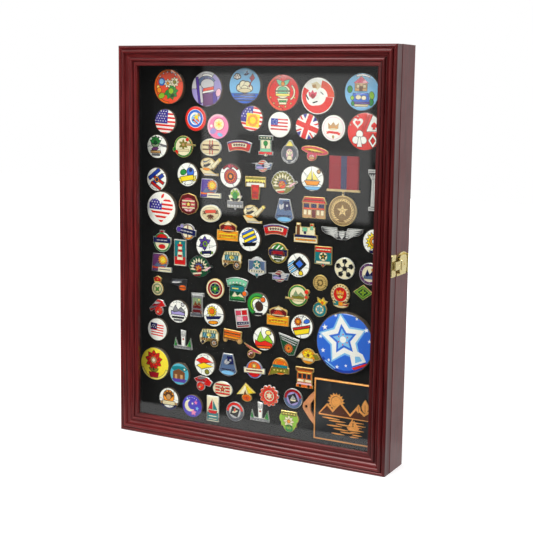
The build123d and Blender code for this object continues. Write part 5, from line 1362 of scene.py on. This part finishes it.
def layPlaque():
    casting = Casting()
    outline = oblong(plaqueForm["width"], plaqueForm["height"])
    layArt(casting, onFelt(plaqueForm["place"]), outline, plaqueShapes(), lambda x, y: plaqueForm["thick"], "copper",
           steps=plaqueForm["drops"], rim=plaqueForm["edge"], inside=grown(outline, -plaqueForm["bare"]))
    casting.finish("plaqueRelief", "plaque", "plaque_enamel", reliefWork, pinForm["sharp"])


layPlaque()
print("plaque laid")

# award medal: relief on the disc, and a ribbon folded over itself

medalForm = {"place": (264.3, 311.5), "diameter": 33.0, "thick": 2.6, "relief": 0.26, "sunk": 0.12, "inset": 0.25,
             "edge": 0.1, "bare": 0.2, "around": 60, "wreath": 6.0, "beadReach": 14.5, "beadSunk": 0.05,
             "drops": {"darkBronze": 0.22}}
ribbonMiddle = onFelt(medalForm["place"])
discLow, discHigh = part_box("medal_disc")
discMiddle = ((discLow.x + discHigh.x) / 2 / mm, discLow.z / mm + medalForm["diameter"] / 2)


def medalShapes():
    # rings, a wreath in two halves and a star
    d = medalForm["diameter"]
    reach = d / 2 - medalForm["wreath"]
    wreath = [leaf("bronze", 4.4, 1.5, *polar(reach, angle), angle + lean)
              for first, last, lean in ((-80, 85, 68), (98, 262, -68)) for angle in range(first, last, 15)]
    return [disc("darkBronze", d - 1.6), disc("bronze", d - 6.4), disc("darkBronze", d - 7.4), *wreath,
            star("bronze", 6.8, 0, 0.2), disc("darkBronze", 4.4), disc("bronze", 3.4)]


def layMedal():
    casting = Casting()
    reach, around = medalForm["diameter"] / 2 - medalForm["inset"], medalForm["around"]
    layArt(casting, discMiddle, ring(around, reach), medalShapes(),
           lambda x, y: medalForm["thick"] + medalForm["relief"], "bronze", steps=medalForm["drops"],
           rim=medalForm["edge"], foot=medalForm["thick"] - medalForm["sunk"],
           inside=ring(around, reach - medalForm["bare"]))
    casting.finish("medalRelief", None, "medal_bronze", reliefWork, pinForm["sharp"])


layMedal()

# beads along a line, and posts where a pin goes through the felt

postForm = {"Radius": 0.6 * mm, "Length": 6.0 * mm}
beadForm = {"Pitch": 1.5 * mm, "Radius": 0.42 * mm}
ribbonPosts = (12.25, 12.6)  # how far aside and how far above the ribbon's middle
postSharp = 40


def startTree(name, form):
    numbers = [(title, "Float", value) for title, value in form.items()]
    return nodeGroup("GeometryNodeTree", name, [("Geometry", "Geometry"), *numbers, ("Finish", "Material")],
                     [("Geometry", "Geometry")])


def endTree(tree, given, wanted, points, shape):
    copies = put(tree, "GeometryNodeInstanceOnPoints", Points=points, Instance=shape)[0]
    real = put(tree, "GeometryNodeRealizeInstances", Geometry=copies)[0]
    tree.links.new(put(tree, "GeometryNodeSetMaterial", Geometry=real, Material=given["Finish"])[0],
                   wanted["Geometry"])
    return tree


def makeBeadTree():
    # round beads at an even pitch along the line of the mesh
    tree, given, wanted = startTree("beadRow", beadForm)
    line = put(tree, "GeometryNodeMeshToCurve", Mesh=given["Geometry"])[0]
    spots = put(tree, "GeometryNodeResampleCurve", {"mode": "LENGTH"}, Curve=line, Length=given["Pitch"])[0]
    bead = put(tree, "GeometryNodeMeshUVSphere", Segments=8, Rings=5, Radius=given["Radius"])[0]
    return endTree(tree, given, wanted, spots, bead)


def makePostTree():
    # a round post at each point, running back along +Y
    tree, given, wanted = startTree("pinPosts", postForm)
    post = put(tree, "GeometryNodeMeshCylinder", Vertices=8, Radius=given["Radius"], Depth=given["Length"])[0]
    back = put(tree, "ShaderNodeCombineXYZ", Y=combine(tree, "MULTIPLY", given["Length"], 0.5))[0]
    laid = put(tree, "GeometryNodeTransform", Geometry=post, Translation=back, Rotation=(math.pi / 2, 0, 0))[0]
    return endTree(tree, given, wanted, given["Geometry"], laid)


def fromTree(name, points, edges, tree, form, material):
    mesh = bpy.data.meshes.new(name)
    mesh.from_pydata(points, edges, [])
    piece = addPiece(name, mesh)
    modifier = piece.modifiers.new("nodes", "NODES")
    modifier.node_group = tree
    values = {**form, "Finish": material}
    for item in tree.interface.items_tree:
        if item.name in values:
            modifier[item.identifier] = values[item.name]
    evaluated = piece.evaluated_get(bpy.context.evaluated_depsgraph_get())
    made = bpy.data.meshes.new_from_object(evaluated)
    piece.modifiers.clear()
    piece.data = made
    made.shade_smooth()
    return piece


brass, zincSteel = metal("brass"), metal("zincSteel")
medalBronze, roseCopper = metal("medalBronze"), metal("roseCopper")

postPlaces = [onFelt(entry[0]) for entry in largeBadges + printBadges + whiteBadges + grandBadge]
postPlaces += [onFelt(entry[0]) for entries in enamelPins.values() for entry in entries]
postPlaces += [onFelt(place) for place in (wingPlace, columnPlace, plaqueForm["place"])]
postPlaces += [(ribbonMiddle[0] + way * ribbonPosts[0], ribbonMiddle[1] + ribbonPosts[1]) for way in (-1, 1)]
posts = fromTree("pinPosts", [(x * mm, feltFront * mm, z * mm) for x, z in postPlaces], [], makePostTree(), postForm,
                 zincSteel)
softened(posts.data, postSharp)
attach(posts, "case")

beadY = feltFront - medalForm["thick"] - medalForm["beadSunk"]
beadLine = [((discMiddle[0] + x) * mm, beadY * mm, (discMiddle[1] + z) * mm)
            for x, z in ring(medalForm["around"], medalForm["beadReach"])]
beads = fromTree("medalBeads", beadLine, [(i, (i + 1) % len(beadLine)) for i in range(len(beadLine))],
                 makeBeadTree(), beadForm, medalBronze)
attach(beads, "case")
print("posts:", len(postPlaces))

ribbonForm = {"width": 35.0, "drop": 36.0, "near": 1.22, "far": 0.34, "cloth": 0.5, "columns": 14, "rows": 36,
              "bend": 8, "longer": 0.3, "creaseAt": 0.24, "crease": 0.16, "creaseSpan": 0.018, "belly": 0.05,
              "ripple": 0.03, "rippleAcross": 9.0, "rippleAlong": 0.22}


def ribbonLine():
    # up the back, over the fold and down the front with one pressed crease: (out, z)
    near, far, rows, steps = (ribbonForm[name] for name in ("near", "far", "rows", "bend"))
    low = ribbonMiddle[1] - ribbonForm["drop"] / 2 - ribbonForm["longer"]
    radius, middle = (near - far) / 2, (near + far) / 2
    high = ribbonMiddle[1] + ribbonForm["drop"] / 2 - ribbonForm["cloth"] / 2 - radius
    line = [(far, low + (high - low) * i / rows) for i in range(rows)]
    turns = [math.pi * i / steps for i in range(steps + 1)]
    line += [(middle - radius * math.cos(a), high + radius * math.sin(a)) for a in turns]
    for t in (i / rows for i in range(1, rows + 1)):
        dent = ribbonForm["crease"] * math.exp(-((t - ribbonForm["creaseAt"]) / ribbonForm["creaseSpan"]) ** 2)
        line.append((near - dent, high - (high - low) * t))
    return line


def foldedRibbon():
    line, columns = ribbonLine(), ribbonForm["columns"]
    work = bmesh.new()
    grid = []
    for i, (out, z) in enumerate(line):
        row = []
        for u in (j / columns - 0.5 for j in range(columns + 1)):
            belly = ribbonForm["belly"] * math.cos(math.pi * u) * math.sin(math.pi * i / (len(line) - 1))
            ripple = ribbonForm["ripple"] * math.sin(ribbonForm["rippleAcross"] * u + ribbonForm["rippleAlong"] * i)
            row.append(work.verts.new(((ribbonMiddle[0] + u * ribbonForm["width"]) * mm,
                                       (feltFront - out - belly - ripple) * mm, z * mm)))
        grid.append(row)
    for lower, upper in zip(grid, grid[1:]):
        for j in range(columns):
            work.faces.new((lower[j], lower[j + 1], upper[j + 1], upper[j]))
    mesh = bpy.data.meshes.new("medalRibbon")
    bmesh.ops.recalc_face_normals(work, faces=work.faces)
    work.to_mesh(mesh)
    work.free()
    mesh.materials.append(ribbonCloth("medalRibbonCloth", ribbonMiddle[0] * mm))
    mesh.shade_smooth()
    piece = addPiece("medalRibbon", mesh)
    cloth = piece.modifiers.new("cloth", "SOLIDIFY")
    cloth.thickness = ribbonForm["cloth"] * mm
    cloth.offset = 0.0
    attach(piece, "case")
    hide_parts("medal_ribbon")


foldedRibbon()
print("medal hung")

# finishes on the CAD pieces

upright, crossways = lacqueredWood("lacquerUpright"), lacqueredWood("lacquerCrossways", alongX)
# painted shade: the door's right stile gets a darker front, for the shade it stands in
shadedUpright = lacqueredWood("lacquerPaintedShade", paintedShadeShare=0.66)
blackFelt = felt("blackFelt")
sharpEdge = 30
finishes = {
    "felt_sheet": blackFelt, "stop_dots": blackFelt, "pin_board": hardboard("corkBoard"),
    "back_panel": hardboard("backBoard"), "hanging_rail": softwood("bareRail"), "glass_pane": clearGlass("paneGlass"),
    "plaque_loop": roseCopper, "door_right": shadedUpright, "medal_bar": medalBronze, "medal_ring": zincSteel,
    "medal_disc": medalBronze,
}
kinds = {"case_": upright, "door_": upright, "glazing_": upright, "liner_": blackFelt, "panel_screws": zincSteel,
         "hanger_": zincSteel, "hinge": brass, "catch": brass, "strike": brass}
for name, piece in nodes.items():
    finish = finishes.get(name) or next((look for start, look in kinds.items() if name.startswith(start)), None)
    if finish is upright and name.endswith(("_top", "_bottom")):
        finish = crossways
    if finish:
        piece.data.materials.clear()
        piece.data.materials.append(finish)
        softened(piece.data, sharpEdge)
print("finishes set")

# stage, light and camera; boxes are (low, high, low, high)

scene = bpy.context.scene
scene.view_settings.view_transform = "Standard"
white = (1, 1, 1, 1)
stage = {"floor": 6.0, "dark": (232, 232, 232), "light": (240, 240, 240), "lift": 0.45, "farWhite": (0.5, 1.6),
         "roomDim": 0.05, "near": (-0.10, 0.03, -0.21, 0.1), "nearSoft": 0.02, "nearGlow": 0.40,
         "foot": (-0.5, 0.25, -0.125, 0.1), "footSoft": 0.006, "footGlow": 0.78, "back": (-0.06, 0.10),
         "backGlow": 0.64}


def softStep(tree, value, low, high, fromValue=0.0, toValue=1.0):
    return put(tree, "ShaderNodeMapRange", {"interpolation_type": "SMOOTHSTEP"}, Value=value, From_Min=low,
               From_Max=high, To_Min=fromValue, To_Max=toValue)[0]


def softBox(tree, across, along, box, soft):
    # 1 inside the box and 0 outside, with soft edges
    mask = 1.0
    for value, low, high in ((across, *box[:2]), (along, *box[2:])):
        for edge, ends in ((low, (0.0, 1.0)), (high, (1.0, 0.0))):
            side = softStep(tree, value, edge - soft, edge + soft, *ends)
            mask = combine(tree, "MULTIPLY", mask, side)
    return mask


def bentRays(tree):
    # the kinds of ray, and a mask of the mirrored ones and those that pass glass
    path = put(tree, "ShaderNodeLightPath")
    return path, combine(tree, "MAXIMUM", path["Is Glossy Ray"], path["Is Transmission Ray"])


def stageMesh(name, corners, material):
    mesh = bpy.data.meshes.new(name)
    mesh.from_pydata(corners, [], [(0, 1, 2, 3)])
    mesh.materials.append(material)
    addPiece(name, mesh)


def makeFloor():
    # lit paper that turns plain white further off; mirrored, it is white behind the case and dim before it
    material, tree, shader = startMaterial("paleFloor", Roughness=0.9, Specular_IOR_Level=0.1, Emission_Color=white)
    where = put(tree, "ShaderNodeTexCoord")["Object"]
    x, y, _ = split(tree, where)
    away = put(tree, "ShaderNodeVectorMath", {"operation": "LENGTH"}, at0=where)["Value"]
    lift = softStep(tree, away, *stage["farWhite"], stage["lift"], 1.0)
    path, bent = bentRays(tree)
    dress(tree, shader, Base_Color=twoTone(tree, stage, mottle(tree, objectPlace(tree), 3.0, 2.0)),
          Emission_Strength=combine(tree, "MULTIPLY", path["Is Camera Ray"], lift))
    mirrored = stage["roomDim"]
    for band in ("near", "foot"):
        mask = softBox(tree, x, y, stage[band], stage[band + "Soft"])
        mirrored = combine(tree, "MAXIMUM", mirrored, combine(tree, "MULTIPLY", mask, stage[band + "Glow"]))
    mirrored = combine(tree, "MAXIMUM", mirrored, softStep(tree, y, *stage["back"], 0.0, stage["backGlow"]))
    showMix(tree, bent, shader.outputs[0], put(tree, "ShaderNodeEmission", Color=white, Strength=mirrored)[0])
    stageMesh("floor", [(*corner, 0) for corner in oblong(stage["floor"], stage["floor"])], material)


roomCard = {"y": -1.103, "soft": 0.008, "edge": (-0.76, -0.20, 0.09, 0.56), "wall": (-0.72, -0.25, 0.262, 0.52),
            "wallGlow": 0.28, "window": (-0.72, -0.31, 0.134, 0.445), "glow": 0.85,
            "mullion": (-0.63, -0.57, 0.10, 0.315), "sash": (-0.60, -0.34, 0.280, 0.315), "barGlow": 0.55}


def makeRoomCard():
    # a dim window across the room, which only shows mirrored in the pane
    material, tree, _ = startMaterial("roomCard")
    x, _, z = split(tree, put(tree, "ShaderNodeTexCoord")["Object"])
    wall, window, mullion, sash = [softBox(tree, x, z, roomCard[name], roomCard["soft"])
                                   for name in ("wall", "window", "mullion", "sash")]
    bars = combine(tree, "MAXIMUM", mullion, sash)
    pane = remap(tree, bars, 0.0, 1.0, roomCard["glow"], roomCard["glow"] * roomCard["barGlow"])
    share = combine(tree, "MAXIMUM", combine(tree, "MULTIPLY", window, pane),
                    combine(tree, "MULTIPLY", wall, roomCard["wallGlow"]))
    showMix(tree, combine(tree, "MULTIPLY", share, bentRays(tree)[1]), put(tree, "ShaderNodeBsdfTransparent")[0],
            put(tree, "ShaderNodeEmission", Color=white, Strength=1.0)[0])
    (x0, x1, z0, z1), y = roomCard["edge"], roomCard["y"]
    stageMesh("roomCard", [(x0, y, z0), (x1, y, z0), (x1, y, z1), (x0, y, z1)], material)


studio = {"fill": 0.50, "behind": (-0.05, 0.25), "above": (0.14, 0.5), "roofGlow": 0.62}


def makeWorld():
    # white behind the case for what is seen or mirrored, and a dim room in front of it
    world = bpy.data.worlds.new("studio")
    scene.world = world
    world.use_nodes = True
    tree = world.node_tree
    _, y, z = split(tree, put(tree, "ShaderNodeTexCoord")["Generated"])
    behind = softStep(tree, y, *studio["behind"], stage["roomDim"], stage["backGlow"])
    above = softStep(tree, z, *studio["above"], 0.0, studio["roofGlow"])
    path, bent = bentRays(tree)
    mirrored = blendValues(tree, bent, studio["fill"], combine(tree, "MAXIMUM", behind, above))
    background = tree.nodes["Background"].inputs
    background["Color"].default_value = white
    tree.links.new(blendValues(tree, path["Is Camera Ray"], mirrored, 1.0), background["Strength"])


lamps = {
    "keyLamp": {"place": (-0.9, -2.0, 2.2), "size": (1.4, 1.4), "power": 24.5},
    "fillLamp": {"place": (1.9, -1.0, 1.4), "size": (1.2, 1.2), "power": 20.0},
    "topLamp": {"place": (0.1, -0.3, 2.5), "size": (1.6, 1.0), "power": 17.0},
    "frontLamp": {"place": (-0.55, -1.5, 0.95), "size": (0.9, 0.6), "power": 14.0},
}
aim = Vector((0.0, 0.0, 0.22))


def makeLamps():
    for name, look in lamps.items():
        lamp = bpy.data.lights.new(name, "AREA")
        lamp.shape = "RECTANGLE"
        lamp.size, lamp.size_y = look["size"]
        lamp.energy = look["power"]
        holder = addPiece(name, lamp)
        holder.location = look["place"]
        holder.rotation_euler = (aim - Vector(look["place"])).to_track_quat("-Z", "Y").to_euler()


cameraForm = {"place": (0.59634, -1.10286, 0.40843), "turn": (81.0630, -0.7760, 28.0240), "lens": 75.74,
              "sensor": 36.0}


def makeCamera():
    lens = bpy.data.cameras.new("camera")
    lens.sensor_width = cameraForm["sensor"]
    lens.lens = cameraForm["lens"]
    scene.camera = addPiece("camera", lens)
    scene.camera.location = cameraForm["place"]
    scene.camera.rotation_euler = Euler([math.radians(a) for a in cameraForm["turn"]], "XYZ")


makeFloor()
makeRoomCard()
makeWorld()
makeLamps()
makeCamera()
print("stage set")
